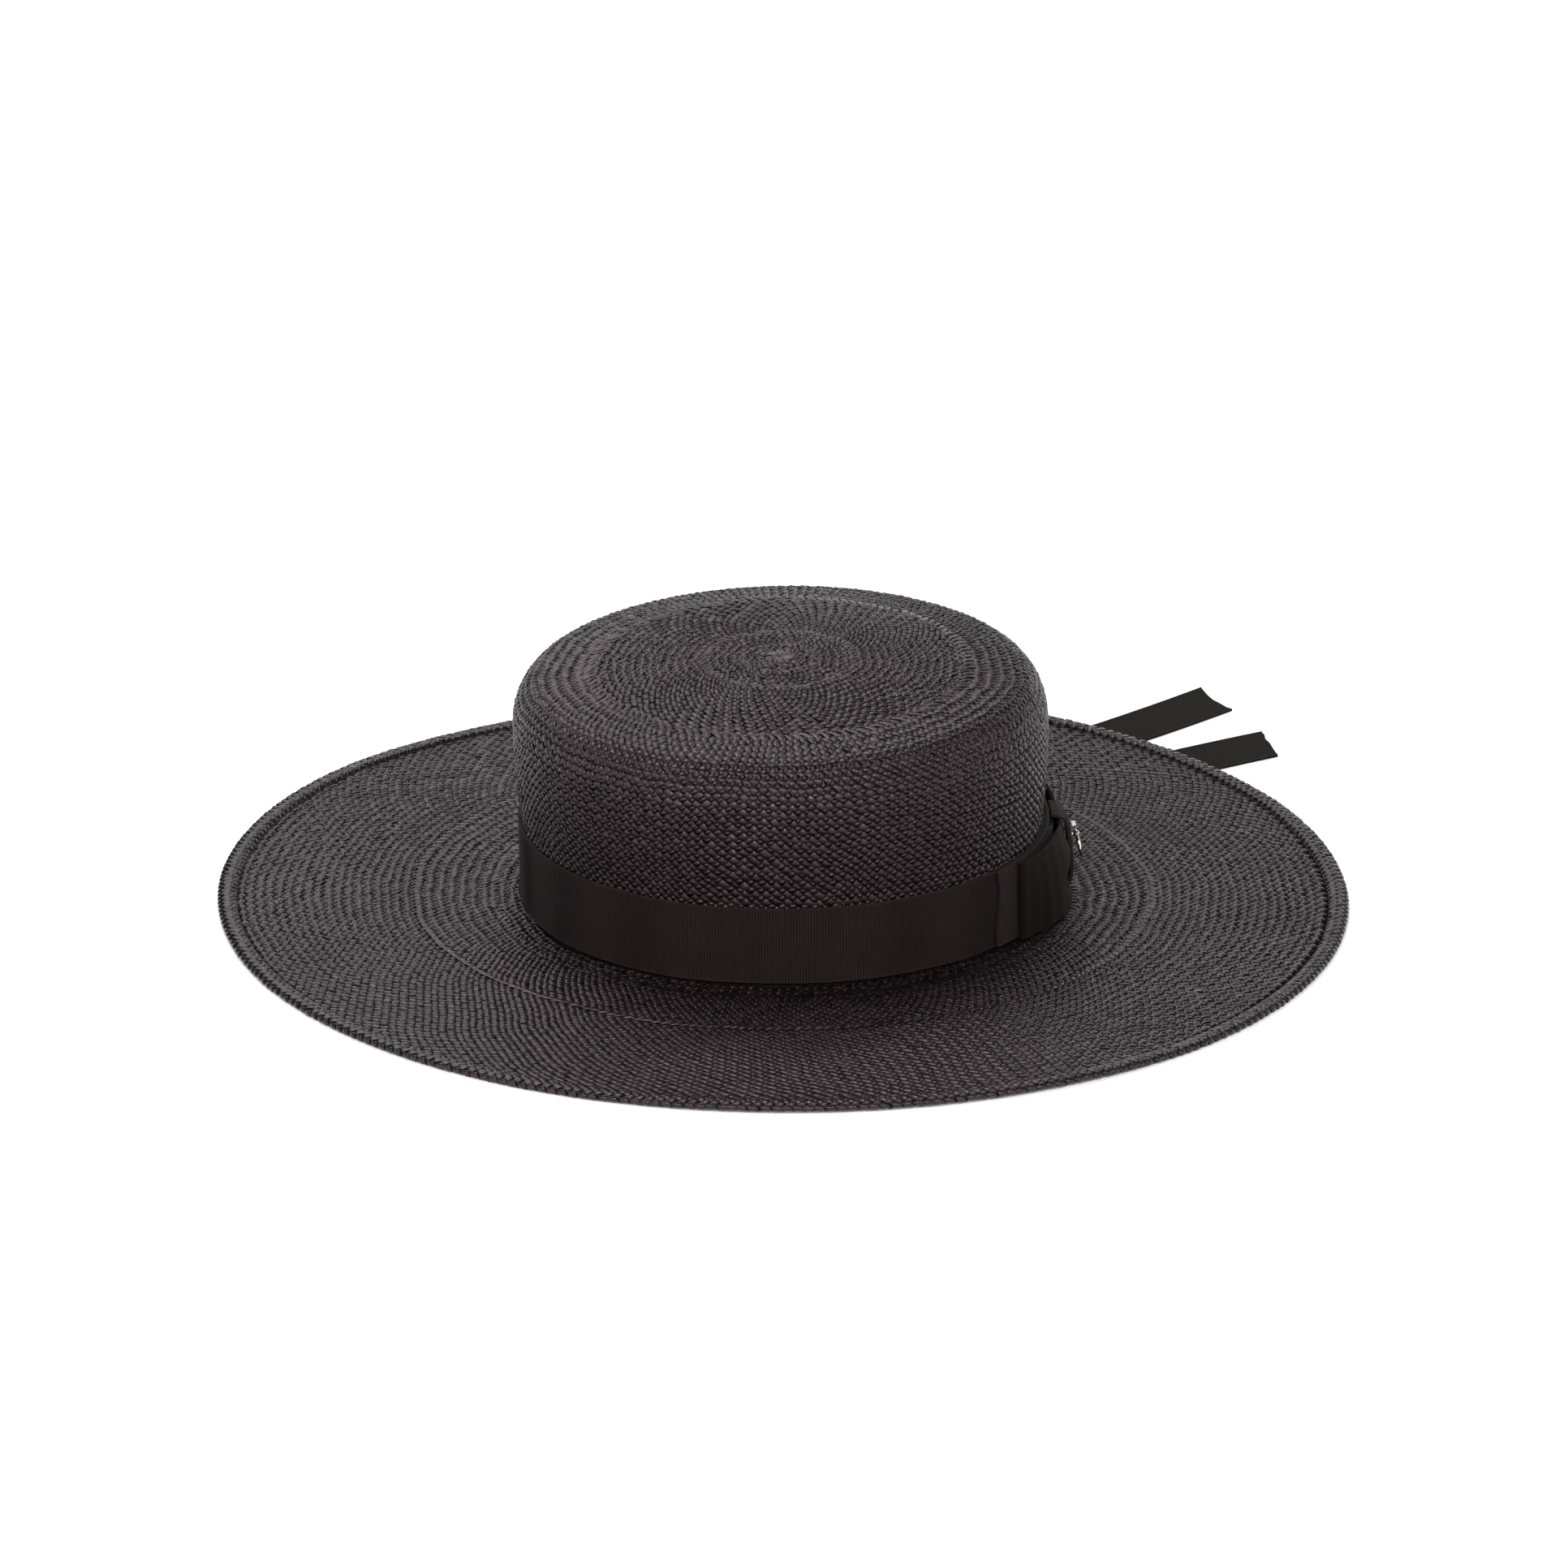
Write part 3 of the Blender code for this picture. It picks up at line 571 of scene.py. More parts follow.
def floor_look():
    """Plain pale studio floor that glows, and more so farther from the hat."""
    look = Look("studio_floor")
    place = look.place()
    mottle = look.noise(place, 6.0, 2.0)
    reach = look.node("ShaderNodeVectorMath", (place,), {"operation": "LENGTH"})["Value"]
    glow = look.ramp(reach, *FLOOR_GLOW)
    colour = look.blend(mottle, (0.93, 0.93, 0.93), (0.95, 0.95, 0.95))
    return look.set(Base_Color=colour, Roughness=0.9, Specular_IOR_Level=0.1,
                    Emission_Color=(1.0, 1.0, 1.0), Emission_Strength=glow)


# Mesh helpers

def add_object(name, data):
    """New object in the scene."""
    made = bpy.data.objects.new(name, data)
    bpy.context.scene.collection.objects.link(made)
    return made


def piece(name, points, faces, look, marks):
    """Object from arrays of points and quads, with its material and point marks."""
    mesh = bpy.data.meshes.new(name)
    points = np.ascontiguousarray(points, dtype=np.float32).reshape(-1, 3)
    faces = np.ascontiguousarray(faces, dtype=np.int32).reshape(-1, 4)
    mesh.vertices.add(len(points))
    mesh.vertices.foreach_set("co", points.ravel())
    mesh.loops.add(faces.size)
    mesh.loops.foreach_set("vertex_index", faces.ravel())
    mesh.polygons.add(len(faces))
    mesh.polygons.foreach_set("loop_start", np.arange(0, faces.size, 4, dtype=np.int32))
    for key, values in marks.items():
        values = np.ascontiguousarray(values, dtype=np.float32)
        kind, field = ("FLOAT_VECTOR", "vector") if values.ndim > 1 else ("FLOAT", "value")
        mark = mesh.attributes.new(key, kind, "POINT")
        mark.data.foreach_set(field, values.ravel())
    mesh.update(calc_edges=True)
    mesh.validate()
    mesh.shade_smooth()
    mesh.materials.append(look)
    made = add_object(name, mesh)
    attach(made, "root")
    return made


def grid_faces(rows, columns, close_rows=False):
    """Quads of a grid of points, row by row."""
    row = np.arange(rows if close_rows else rows - 1)[:, None]
    column = np.arange(columns - 1)[None, :]
    after = (row + 1) % rows
    quads = (row * columns + column, after * columns + column,
             after * columns + column + 1, row * columns + column + 1)
    return np.stack(quads, axis=-1).reshape(-1, 4)


# Floats of the weave

# Points of a float: place across and along the strand in pitches, share of its rise. An
# arch is five rows of three points over the strand it crosses, with a foot on either
# side, and sides in painted shade after its first quads; a plain one is a small grid.
ARCH_ROWS = ((-0.60, -0.08), (-0.36, 0.70), (0.0, 1.0), (0.36, 0.70), (0.60, -0.08))
ARCH_COLUMNS = ((-0.46, 0.74), (0.0, 1.0), (0.46, 0.74))
ARCH = tuple((u, v, rise * share) for v, rise in ARCH_ROWS for u, share in ARCH_COLUMNS)
ARCH += ((-0.51, 0.0, -0.25), (0.51, 0.0, -0.25))
ARCH_FACES = tuple((corner, corner + 1, corner + 4, corner + 3)
                   for corner in (0, 1, 3, 4, 6, 7, 9, 10))
ARCH_FACES += ((0, 3, 6, 15), (15, 6, 9, 12), (2, 16, 8, 5), (16, 14, 11, 8))
TOP_QUADS = 8
PLAIN = tuple((u, v, (1.0 - 2.0 * abs(u)) * (1.0 - 2.05 * abs(v)))
              for u in (-0.5, 0.0, 0.5) for v in (-0.56, 0.0, 0.56))
PLAIN_FACES = ((0, 3, 4, 1), (1, 4, 5, 2), (3, 6, 7, 4), (4, 7, 8, 5))

# Width, length, height and tone of the floats that lean to either side. On the wall the
# tones are painted light and shade: one family lighter, the other darker, as light falls
BRIM_SHAPE = ((0.97, 1.02, 1.0, 1.0), (1.0, 1.12, 1.06, 1.0))
PLAIN_SHAPE = ((0.96, 1.04, 0.95, 1.0), (1.0, 1.12, 1.0, 1.0))
SHAPES = {
    "tip_weave": ((0.91, 1.0, 1.22, 1.0), (0.94, 1.08, 1.36, 1.0)),
    "wall_weave": ((0.90, 1.0, 0.90, 0.75), (1.02, 1.22, 1.05, 1.2)),
    "brim_inner_weave": BRIM_SHAPE,
    "brim_outer_weave": BRIM_SHAPE,
}

# Pieces that are woven in parts, by the azimuths that each part takes
HALVES = {
    "brim_outer_weave": {
        "brim_outer_weave_back": lambda azimuth: np.sin(azimuth) >= 0.0,
        "brim_outer_weave_front": lambda azimuth: np.sin(azimuth) < 0.0,
    },
}

# Spreads of the hand weaving: tilt, turn and slip of floats, edges of strands, tone of
# strands, of floats and of rings, lean in rings, least and most of the rise and the tone
TILT_SPREAD = 0.17
TURN_SPREAD = 0.075
SLIP_SPREAD = 0.045
EDGE_SPREAD = 0.06
STRAND_TONES = 0.13
FLOAT_TONES = 0.12
RING_TONES = 0.10
RING_LEAN = 7.0
RISE_RANGE = (0.86, 1.12)
TONE_RANGE = (0.5, 1.6)

# Bright floats: how many of all, and their tone. Then the change of chance from row to row
BRIGHT_SHARE = 0.02
BRIGHT_TONE = 1.7
CHANCE_STEP = 0.137

# Turn of the tip's rows of crossings away from the radius, as a slope, and the tip's edge
TIP_TWIST = 0.34
TIP_EDGE = 66.0 * MM

# Strands wander a little, by radians round the hat and by mm along the path: how far,
# waves round the hat, waves a metre, start
TURN_WAVES = ((0.010, 5, 9.0, 0.4), (0.007, 9, -7.0, 2.1), (0.004, 17, 17.0, 4.0))
SHIFT_WAVES = ((0.45, 7, 5.0, 1.0), (0.30, 13, -11.0, 3.0), (0.18, 29, 23.0, 5.2))

# How far this takes to set in from the path's ends, the calm reach beside the hem, and how
# far it takes to set in from there
END_EASE = 9.0 * MM
HEM_CALM = 6.0 * MM
HEM_EASE = 14.0 * MM


def waves(rows, azimuth, along):
    """Sum of waves of a table over the azimuth and the path's length."""
    return sum(size * np.sin(count * azimuth + TURN * pace * along + start)
               for size, count, pace, start in rows)


def wander(azimuth, along):
    """Azimuths and path lengths after the uneven drift of hand weaving."""
    edge = PATH.at("hem_edge", BRIM_RADIUS / MM - 1.0)
    far = np.minimum(along, PATH.length[-1] - along) / END_EASE
    calm = smooth(far) * smooth((np.abs(along - edge) - HEM_CALM) / HEM_EASE)
    radius = np.clip(np.interp(along, PATH.length, PATH.radius) / TIP_EDGE, 0.05, 1.0)
    return (azimuth + TIP_TWIST * np.log(radius) + calm * waves(TURN_WAVES, azimuth, along),
            along + calm * waves(SHIFT_WAVES, azimuth, along) * MM)


class Floats:
    """A growing set of floats, joined into one mesh in the end."""

    def __init__(self, shape, faces):
        self.u, self.v, self.rise = np.array(shape).T
        self.quads = np.array(faces)
        self.points, self.strand, self.tone, self.count = [], [], [], 0

    def add(self, azimuth, along, base, rise, tone, chance):
        """Floats by the azimuth and path length of their points, one row for each float."""
        number = len(azimuth)
        tilt = RNG.normal(0.0, TILT_SPREAD, (number, 2))
        shape = self.rise * (1.0 + 2.0 * (tilt[:, :1] * self.u + tilt[:, 1:] * self.v))
        rise = np.broadcast_to(rise, shape.shape) * RNG.uniform(*RISE_RANGE, number)[:, None]
        azimuth, along = wander(azimuth, along)
        self.points.append(PATH.place(azimuth, along, base + rise * shape).reshape(-1, 3))
        marks = np.broadcast_arrays(self.u, self.v, np.asarray(chance)[:, None])
        self.strand.append(np.stack(marks, axis=-1).reshape(-1, 3))
        self.tone.append(np.repeat(np.asarray(tone), len(self.u)))
        self.count += number

    def build(self, name, look, painted_shade_look):
        starts = np.arange(self.count)[:, None, None] * len(self.u)
        faces = (starts + self.quads[None]).reshape(-1, 4)
        marks = {"strand": np.concatenate(self.strand), "tone": np.concatenate(self.tone)}
        made = piece(name, np.concatenate(self.points), faces, look, marks)
        # Second slot: painted shade for the floats' sides, the faces after their tops
        made.data.materials.append(painted_shade_look)
        kinds = np.arange(len(self.quads)) >= TOP_QUADS
        kinds = np.tile(kinds, self.count).astype(np.int32)
        made.data.polygons.foreach_set("material_index", kinds)
        made.data.set_sharp_from_angle(angle=FLOAT_CREASE)


def pressed(azimuth, along):
    """Share of the height that is left where the front of the brim is pressed flatter."""
    radius = np.interp(along, PATH.length, PATH.radius)
    turn = (azimuth - FRONT + math.pi) % TURN - math.pi
    near = np.exp(-((turn / PRESS_REACH) ** 2))
    return 1.0 - PRESS_SHARE * near * smooth((radius - PRESS_START) / PRESS_FADE)


def uneven(shifts, number, place):
    """Places in strands, one row for each float, after the strands' edges are moved."""
    edges = shifts[number][:, None], shifts[(number + 1) % len(shifts)][:, None]
    return place + (edges[0] * (0.5 - place) + edges[1] * (0.5 + place))


def weave(floats, start, end, strands, pitches, rise, keep, shapes):
    """Diagonal plain weave between two lengths of the path.

    The two families of strands are spirals that lean from the radius to either side. A
    row of crossings round the hat shows one family, and the next row shows the other.
    The pitch from a row to the next row of its own family goes from `pitches[0]` at the
    start to `pitches[1]` past the first third. `keep` picks the azimuths to weave.
    """
    share = np.linspace(0.0, 1.0, 400)
    fine = start + (end - start) * share
    gap = (pitches[0] + (pitches[1] - pitches[0]) * smooth(share * 3.0)) * MM
    step = TURN / (strands * gap)
    turned = np.concatenate(([0.0], np.cumsum((step[1:] + step[:-1]) / 2 * np.diff(fine))))
    pitch = math.pi / strands
    rows = int(turned[-1] / pitch)
    fit = turned[-1] / (rows * pitch)
    jitter = RNG.normal(0.0, EDGE_SPREAD, (2, strands))
    tones = RNG.normal(1.0, STRAND_TONES, (2, strands))
    chances = RNG.uniform(0.0, 1.0, (2, strands))
    for row in range(rows):
        number = np.arange(strands) * 2 + row % 2
        if keep is not None:
            number = number[keep(number * pitch)]
        azimuth = number * pitch
        family = row % 2
        sign = 1.0 - 2.0 * family
        strand = [((number + side * row) // 2) % strands for side in (1, -1)]
        over, under = strand[family], strand[1 - family]
        across = uneven(jitter[family], over, floats.u)
        length = uneven(jitter[1 - family], under, floats.v)
        turn = RNG.normal(0.0, TURN_SPREAD, len(number))[:, None]
        slip = RNG.normal(0.0, SLIP_SPREAD, (2, len(number)))[:, :, None]
        wide, long, tall, lit = shapes[family]
        across, length = (wide * across + turn * length + slip[0],
                          long * length - turn * across + slip[1])
        angle = azimuth[:, None] + pitch * (across + length)
        level = ((row + 0.5) + sign * (across - length)) * pitch * fit
        along = np.interp(level, turned, fine)
        before = np.minimum(level, 0.0)
        along = along + before * (fine[1] - fine[0]) / (turned[1] - turned[0])
        past = np.maximum(level - turned[-1], 0.0)
        along = along + past * (fine[-1] - fine[-2]) / (turned[-1] - turned[-2])
        height = tall * rise * pressed(angle, along)
        tone = tones[family][over] + RNG.normal(0.0, FLOAT_TONES, len(number))
        # lit holds the wall's painted light and shade for either family
        tone = lit * np.clip(tone, *TONE_RANGE)
        bright = RNG.uniform(0.0, 1.0, len(number)) < BRIGHT_SHARE
        tone = np.where(bright, tone * BRIGHT_TONE, tone)
        chance = (chances[family][over] + row * CHANCE_STEP) % 1.0
        floats.add(angle, along, -CORE_DEPTH, height, tone, chance)


def ring(floats, at, count, length, width, lean, base, rise, tone, phase=0.0):
    """Ring of separate slanting floats, their length and width in mm.

    The lean is from the ring towards the hem.
    """
    length, width = length * MM, width * MM
    azimuth = (np.arange(count) + phase + RNG.normal(0.0, EDGE_SPREAD, count)) * TURN / count
    slant = np.radians(lean + RNG.normal(0.0, RING_LEAN, count))[:, None]
    x = floats.v * length * np.cos(slant) + floats.u * width * np.sin(slant)
    y = floats.v * length * np.sin(slant) - floats.u * width * np.cos(slant)
    radius = float(np.interp(at, PATH.length, PATH.radius))
    angle = azimuth[:, None] + x / radius
    tones = tone * RNG.normal(1.0, RING_TONES, count)
    floats.add(angle, at + y, base, rise, tones, RNG.uniform(0.0, 1.0, count))


# Straw

def straw_core(look):
    """Closed core of the woven shell, which the floats stand on, in near-black painted shade."""
    parts = []
    for first, last in PATH.segments.values():
        rows = max(4, (last - first) // 8)
        parts.append(np.linspace(PATH.length[first], PATH.length[last - 1], rows, endpoint=False))
    lengths = np.concatenate(parts + [[PATH.length[-1]]])
    azimuth = np.arange(CORE_AROUND)[:, None] * TURN / CORE_AROUND
    points = PATH.place(azimuth, lengths[None, :], -CORE_DEPTH)
    faces = grid_faces(CORE_AROUND, len(lengths), True)[:, ::-1]
    made = piece("straw_core", points, faces, look, {})
    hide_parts("woven_body")


def zone_floats(zones, shape, faces, rise):
    """Floats of the zones of a table, by the name of their piece."""
    sets = {}
    for name, first, size, last, end_size, strands, *pitches in zones:
        for part, keep in HALVES.get(name, {name: None}).items():
            floats = sets.setdefault(part, Floats(shape, faces))
            weave(floats, PATH.at(first, size), PATH.at(last, end_size), strands, pitches,
                  rise, keep, SHAPES.get(name, PLAIN_SHAPE))
    return sets


def growth_rings(sets):
    """Slanting floats of the rings where strands were added, and the star of the tip."""
    for name, segment, size, count, length, width, lean, tone in GROWTH_ROWS:
        ring(sets[name], PATH.at(segment, size), count, length, width, lean, RING_BASE,
             FLOAT_RISE, tone)
    # The star's floats take a tone that is mostly a painted highlight
    for turn, reach, count in STAR_ROWS:
        ring(sets["tip_weave"], reach * MM, count, *STAR_FLOAT, STAR_BASE, FLOAT_RISE,
             STAR_HIGHLIGHT_TONE, turn)


def hem(straw, thread, shadow):
    """Slanting cells that wrap the folded edge, and the seam in the gap inside it."""
    floats = Floats(ARCH, ARCH_FACES)
    first, last = PATH.segments["hem_edge"]
    starts = {
        "top": PATH.at("hem_top", HEM_TOP),
        "edge": (PATH.length[first] + PATH.length[last - 1]) / 2,
        "under": PATH.length[last - 1],
    }
    for start, past, length, width, lean, phase, tone, rise in HEM_ROWS:
        ring(floats, starts[start] + past * MM, HEM_CELLS, length, width, lean,
             -CORE_DEPTH, rise, tone, phase)
    floats.build("hem_stitches", straw, shadow)
    floats = Floats(PLAIN, PLAIN_FACES)
    ring(floats, PATH.at("brim", HEM_START / MM), SEAM_STITCHES, *SEAM_STITCH)
    floats.build("hem_seam", thread, shadow)


# Ribbon pieces

def unit(vectors):
    """Vectors of the same direction, with length 1."""
    return vectors / np.linalg.norm(vectors, axis=-1, keepdims=True)


def distances(grid, axis):
    """Mean distances in mm of a grid's rows, or its columns, from the first."""
    steps = np.linalg.norm(np.diff(grid, axis=axis), axis=-1).mean(axis=1 - axis)
    return np.concatenate(([0.0], np.cumsum(steps))) / MM


def ribbon(name, middle, look, node, ribs=0.0, rib=RIB, closed=False, thickness=RIBBON,
           scallop=0.0, flip=1.0):
    """Closed thin ribbon on both sides of a grid of middle points.

    `middle` has one row for each step along the ribbon and one point for each step across.
    """
    if closed:
        wide = np.concatenate((middle[-1:], middle, middle[:1]))
        ahead = wide[2:] - wide[:-2]
    else:
        ahead = np.gradient(middle, axis=0)
    side = np.gradient(middle, axis=1)
    normal = unit(np.cross(ahead, side) * flip)
    length = distances(middle, 0)
    level = distances(middle, 1)
    from_edge = np.minimum(level, level[-1] - level)
    wave = np.cos(TURN * length / rib)[:, None]
    inside = smooth(from_edge / SELVAGE_WIDTH)[None, :]
    relief = ribs * 0.5 * (wave - 1.0) * (0.35 + 0.65 * inside) + SELVAGE * (1.0 - inside)
    out = (thickness / 2 + relief)[..., None]
    reach = np.zeros(len(level))
    reach[0], reach[-1] = -1.0, 1.0
    teeth = (scallop * 0.5 * (wave + 1.0) * reach[None, :])[..., None] * unit(side)
    points = [(middle + sign * normal * out + teeth).reshape(-1, 3) for sign in (1.0, -1.0)]
    rows, columns = middle.shape[:2]
    count = rows * columns
    front = grid_faces(rows, columns, closed)
    faces = [front, (front + count)[:, ::-1]]
    row = np.arange(rows if closed else rows - 1)
    after = (row + 1) % rows
    rims = [(row * columns, after * columns, 1),
            (row * columns + columns - 1, after * columns + columns - 1, -1)]
    if not closed:
        first = np.arange(columns - 1)
        last = (rows - 1) * columns + first
        rims += [(first, first + 1, -1), (last, last + 1, 1)]
    for low, high, order in rims:
        quads = np.stack((low, low + count, high + count, high), axis=-1)
        faces.append(quads[:, ::order])
    faces = np.concatenate(faces)
    if flip > 0:
        faces = faces[:, ::-1]
    marks = np.broadcast_arrays(length[:, None], level[None, :], from_edge[None, :])
    marks = np.stack(marks, axis=-1).reshape(-1, 3)
    made = piece(name, np.concatenate(points), faces, look,
                 {"ribbon": np.concatenate((marks, marks))})
    made.data.set_sharp_from_angle(angle=RIBBON_CREASE)
    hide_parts(node)
    return made


def round_hat(degrees, radius, height):
    """Points by azimuth in degrees, radius and height on the round hat."""
    return settle(np.radians(degrees), radius, height)


def hat_band():
    """Ribbed band round the foot of the crown."""
    columns = 3 * BAND_RIBS
    degrees = np.arange(columns) * 360.0 / columns
    levels = np.array(BAND_LEVELS)[None, :]
    height = BAND_BOTTOM + BAND_HEIGHT * levels
    middle = round_hat(degrees[:, None], BAND_OUTER - RIBBON / 2, height)
    look = ribbon_look("band_grosgrain", *BAND_DYE, rib_strength=0.3, gloss=0.08)
    rib = TURN * (BAND_OUTER + OVAL_EXTRA / 2) / MM / BAND_RIBS
    made = ribbon("band_ribbon", middle, look, "hat_band", rib=rib,
                  ribs=BAND_RELIEF, closed=True)


def bow_layer():
    """Flat ribbon length under the bow, a little wavy at its cut ends."""
    along = np.linspace(-1.0, 1.0, 120)[:, None]
    levels = np.linspace(0.0, 1.0, 13)[None, :]
    size, pace, start = LAYER_WAVE
    wave = size * np.sin(levels * pace + start)
    wave = wave * smooth((np.abs(along) - LAYER_END[0]) / LAYER_END[1])
    degrees = BOW_AZIMUTH + LAYER_REACH * along + np.sign(along) * wave
    middle = round_hat(degrees, LAYER_MIDDLE + 0.0 * levels, BAND_BOTTOM + BAND_HEIGHT * levels)
    look = ribbon_look("layer_grosgrain", *LAYER_DYE, rib_strength=0.15)
    made = ribbon("bow_layer_ribbon", middle, look, "bow_under_layer")


def loop_depth(share, level):
    """Distance of a loop's outer leaf from the band."""
    columns = [between(LOOP_ROWS, share, column) for column in range(1, 5)]
    depth = 0.0
    for index, low in enumerate(LOOP_LEVELS[:-1]):
        part = smooth((level - low) / (LOOP_LEVELS[index + 1] - low))
        value = columns[index] + (columns[index + 1] - columns[index]) * part
        depth = np.where(level >= low, value, depth)
    return BOW_DEPTH * depth


def bow_loop(name, node, side):
    """One loop of the bow: inner leaf, fold at the tip and outer leaf."""
    knot = LOOP_ROWS[0][0]
    tip = 1.0 - FOLD_RADIUS / (LEAF_MIDDLE * math.radians(LOOP_REACH))
    levels = np.linspace(0.0, 1.0, 19)[None, :]
    inner = np.linspace(knot, tip, 44, endpoint=False)[:, None]
    turn = np.radians(np.linspace(-90.0, 90.0, 13))[:, None]
    outer = np.linspace(tip, knot, 70)[1:, None]
    outer_tip = BAND_OUTER + loop_depth(np.full((1, 1), tip), levels)
    middle = (LEAF_MIDDLE + outer_tip) / 2
    half = (outer_tip - LEAF_MIDDLE) / 2
    share = np.concatenate((inner, tip + (1.0 - tip) * np.cos(turn), outer)) + 0.0 * levels
    radius = np.concatenate((
        LEAF_MIDDLE + 0.0 * inner * levels, middle + half * np.sin(turn),
        BAND_OUTER + loop_depth(outer, levels)))
    pinch = LOOP_PINCH * smooth((PINCH_END - share) / (PINCH_END - PINCH_START))
    height = BAND_BOTTOM + pinch + (BAND_HEIGHT - 2.0 * pinch) * levels
    points = round_hat(BOW_AZIMUTH + side * LOOP_REACH * share, radius, height)
    look = ribbon_look(name + "_cloth", *LOOP_DYE, rib_strength=0.02, rib_share=0.05, gloss=0.06)
    made = ribbon(name, points, look, node, flip=-side)


def bow_knot():
    """Pleated ribbon wrapped over the bow's middle."""
    steps = np.arange(len(KNOT_ROWS))
    fine = np.linspace(0.0, steps[-1], 56)
    share, depth = (np.interp(fine, steps, values)[:, None] for values in np.array(KNOT_ROWS).T)
    across = np.linspace(-1.0, 1.0, 37)[None, :]
    crown = 1.0 - KNOT_CROWN * across ** 2
    pleats = KNOT_PLEATS * np.cos(across * math.pi * PLEATS)
    pleats = pleats * smooth((depth - PLEAT_START[0]) / PLEAT_START[1])
    degrees = BOW_AZIMUTH + math.degrees(KNOT_WIDTH / 2 / BAND_OUTER) * across
    height = BAND_BOTTOM + RIBBON / 2 + (BAND_HEIGHT - RIBBON) * share
    radius = BAND_OUTER + BOW_DEPTH * depth * crown + pleats
    middle = round_hat(degrees, radius, height + 0.0 * across)
    look = ribbon_look("knot_cloth", *KNOT_DYE, rib_strength=0.12)
    made = ribbon("bow_knot_ribbon", middle, look, "bow_knot", flip=-1.0)


# Ribbon ties

def fold_point(azimuth, inward):
    """Points of the oval on which the ties turn up, moved in towards the crown's axis."""
    stretch = 1.0 + OVAL_EXTRA / CROWN_RADIUS
    edge = np.stack((np.cos(azimuth), np.sin(azimuth) * stretch, 0.0 * azimuth), axis=-1)
    edge = edge * FOLD_LINE
    return edge - unit(edge) * inward


def tie_crossing(skew, across, inward):
    """How far back and sideways a thread of a tie lies a given way past the fold line."""
    back = 0.0 * across
    for _ in range(4):
        sideways = across * math.cos(skew) + back * math.sin(skew)
        bow = FOLD_LINE - np.sqrt(FOLD_LINE * FOLD_LINE - sideways * sideways)
        back = (inward + across * math.sin(skew) + bow) / math.cos(skew)
    return back, sideways


def tie_points(azimuth, first, last, reach, slant, hollow, ragged):
    """Middle grid of a tie: down the sewn tab, round the bend and out on the surface."""
    azimuth = math.radians(azimuth)
    skew = azimuth - math.radians(first)
    across = TIE_WIDTH * (np.array(TIE_SHARES) - 0.5)
    bend = TIE_BEND * math.pi / 2
    rows = []
    tab = np.linspace(bend + TIE_TAB, bend, 73)[:-1]
    for inward in np.concatenate((tab, np.linspace(bend, 0.0, 23)[:-1])):
        sideways = tie_crossing(skew, across, inward)[1]
        turn = min(inward, bend) / TIE_BEND
        rise = RIBBON / 2 + TIE_REST + TIE_BEND * (1.0 - math.cos(turn)) + max(inward - bend, 0.0)
        place = fold_point(azimuth + np.arcsin(sideways / FOLD_LINE), TIE_BEND * math.sin(turn))
        rows.append(place + np.array((-TIP_LEAN * rise / RIM_HEIGHT, 0.0, rise)))
    steps = round(TIE_LENGTH * reach / TIE_STEP)
    point = fold_point(np.array(azimuth), 0.0)
    for step in range(steps + 1):
        share = step / steps
        heading = math.radians(first + (last - first) * share)
        ahead = np.array((math.cos(heading), math.sin(heading), 0.0))
        left = np.array((-ahead[1], ahead[0], 0.0))
        fold = -tie_crossing(skew, across, 0.0)[0] * smooth(1.0 - share / TIE_EASE)
        near_end = 1.0 - (1.0 - share) / TIE_EASE
        cut = slant * across * smooth(near_end)
        arc = (2.0 * across / TIE_WIDTH) ** 2
        slow, fast = (across / MM * pace for pace in RAGGED_PACES)
        rough = np.sin(slow + azimuth * RAGGED_TURN) + np.sin(fast)
        cut = cut + (hollow * (arc - 1.0) + ragged * rough) * MM * smooth(near_end * 6.0 - 5.0)
        row = point + left * across[:, None] + ahead * (fold + cut)[:, None]
        row[:, 2] = RIBBON / 2 + TIE_REST
        rows.append(row)
        point = point + ahead * (TIE_LENGTH * reach / steps)
    return np.array(rows) + np.array((AXIS.x, AXIS.y, 0.0))


def ribbon_ties():
    """The two loose ribbon ties, faintly ribbed across, with toothed edges."""
    look = ribbon_look("tie_grosgrain", *TIE_DYE, rib_strength=0.03, rib_share=0.08, gloss=0.08)
    for name, azimuth, first, last, reach, *cut in TIE_ROWS:
        middle = tie_points(azimuth, first, last, reach, *cut)
        made = ribbon(name + "_cloth", middle, look, name, ribs=TIE_RELIEF,
                      thickness=TIE_THICKNESS, scallop=TIE_TEETH)


# Studio

# Brightness of the surroundings: axis of the direction, level at from, level at to, from, to
SKY_RAMPS = (("Z", 1.78, 0.08, 0.10, 0.58), ("Y", 0.22, 1.0, -0.4, 0.6))

# Name, place in metres from the crown's foot, size in metres, watts
LAMPS = (
    ("key_light", (-0.3, 0.6, 1.5), 1.2, 20.0),
    ("front_light", (0.0, -1.8, 1.15), 0.5, 28.0),
    ("left_light", (-1.3, -1.3, 1.15), 0.5, 18.0),
    ("right_light", (1.3, -1.3, 1.15), 0.5, 18.0),
)
LAMP_AIM = Vector((0.0, 0.0, 0.04))
FLOOR_CORNERS = ((-6.0, -6.0, 0.0), (6.0, -6.0, 0.0), (6.0, 6.0, 0.0), (-6.0, 6.0, 0.0))

# Glow of the floor: near and far strength, and the reaches in metres where they hold
FLOOR_GLOW = (0.15, 0.65, 0.4, 2.4)

# Camera: degrees up, degrees of roll, distance, how far over the crown's foot it looks,
# focal length in mm
CAMERA_UP = 21.11
CAMERA_ROLL = 0.394
CAMERA_DISTANCE = 3.0
CAMERA_AIM = 0.0394
CAMERA_LENS = 195.04


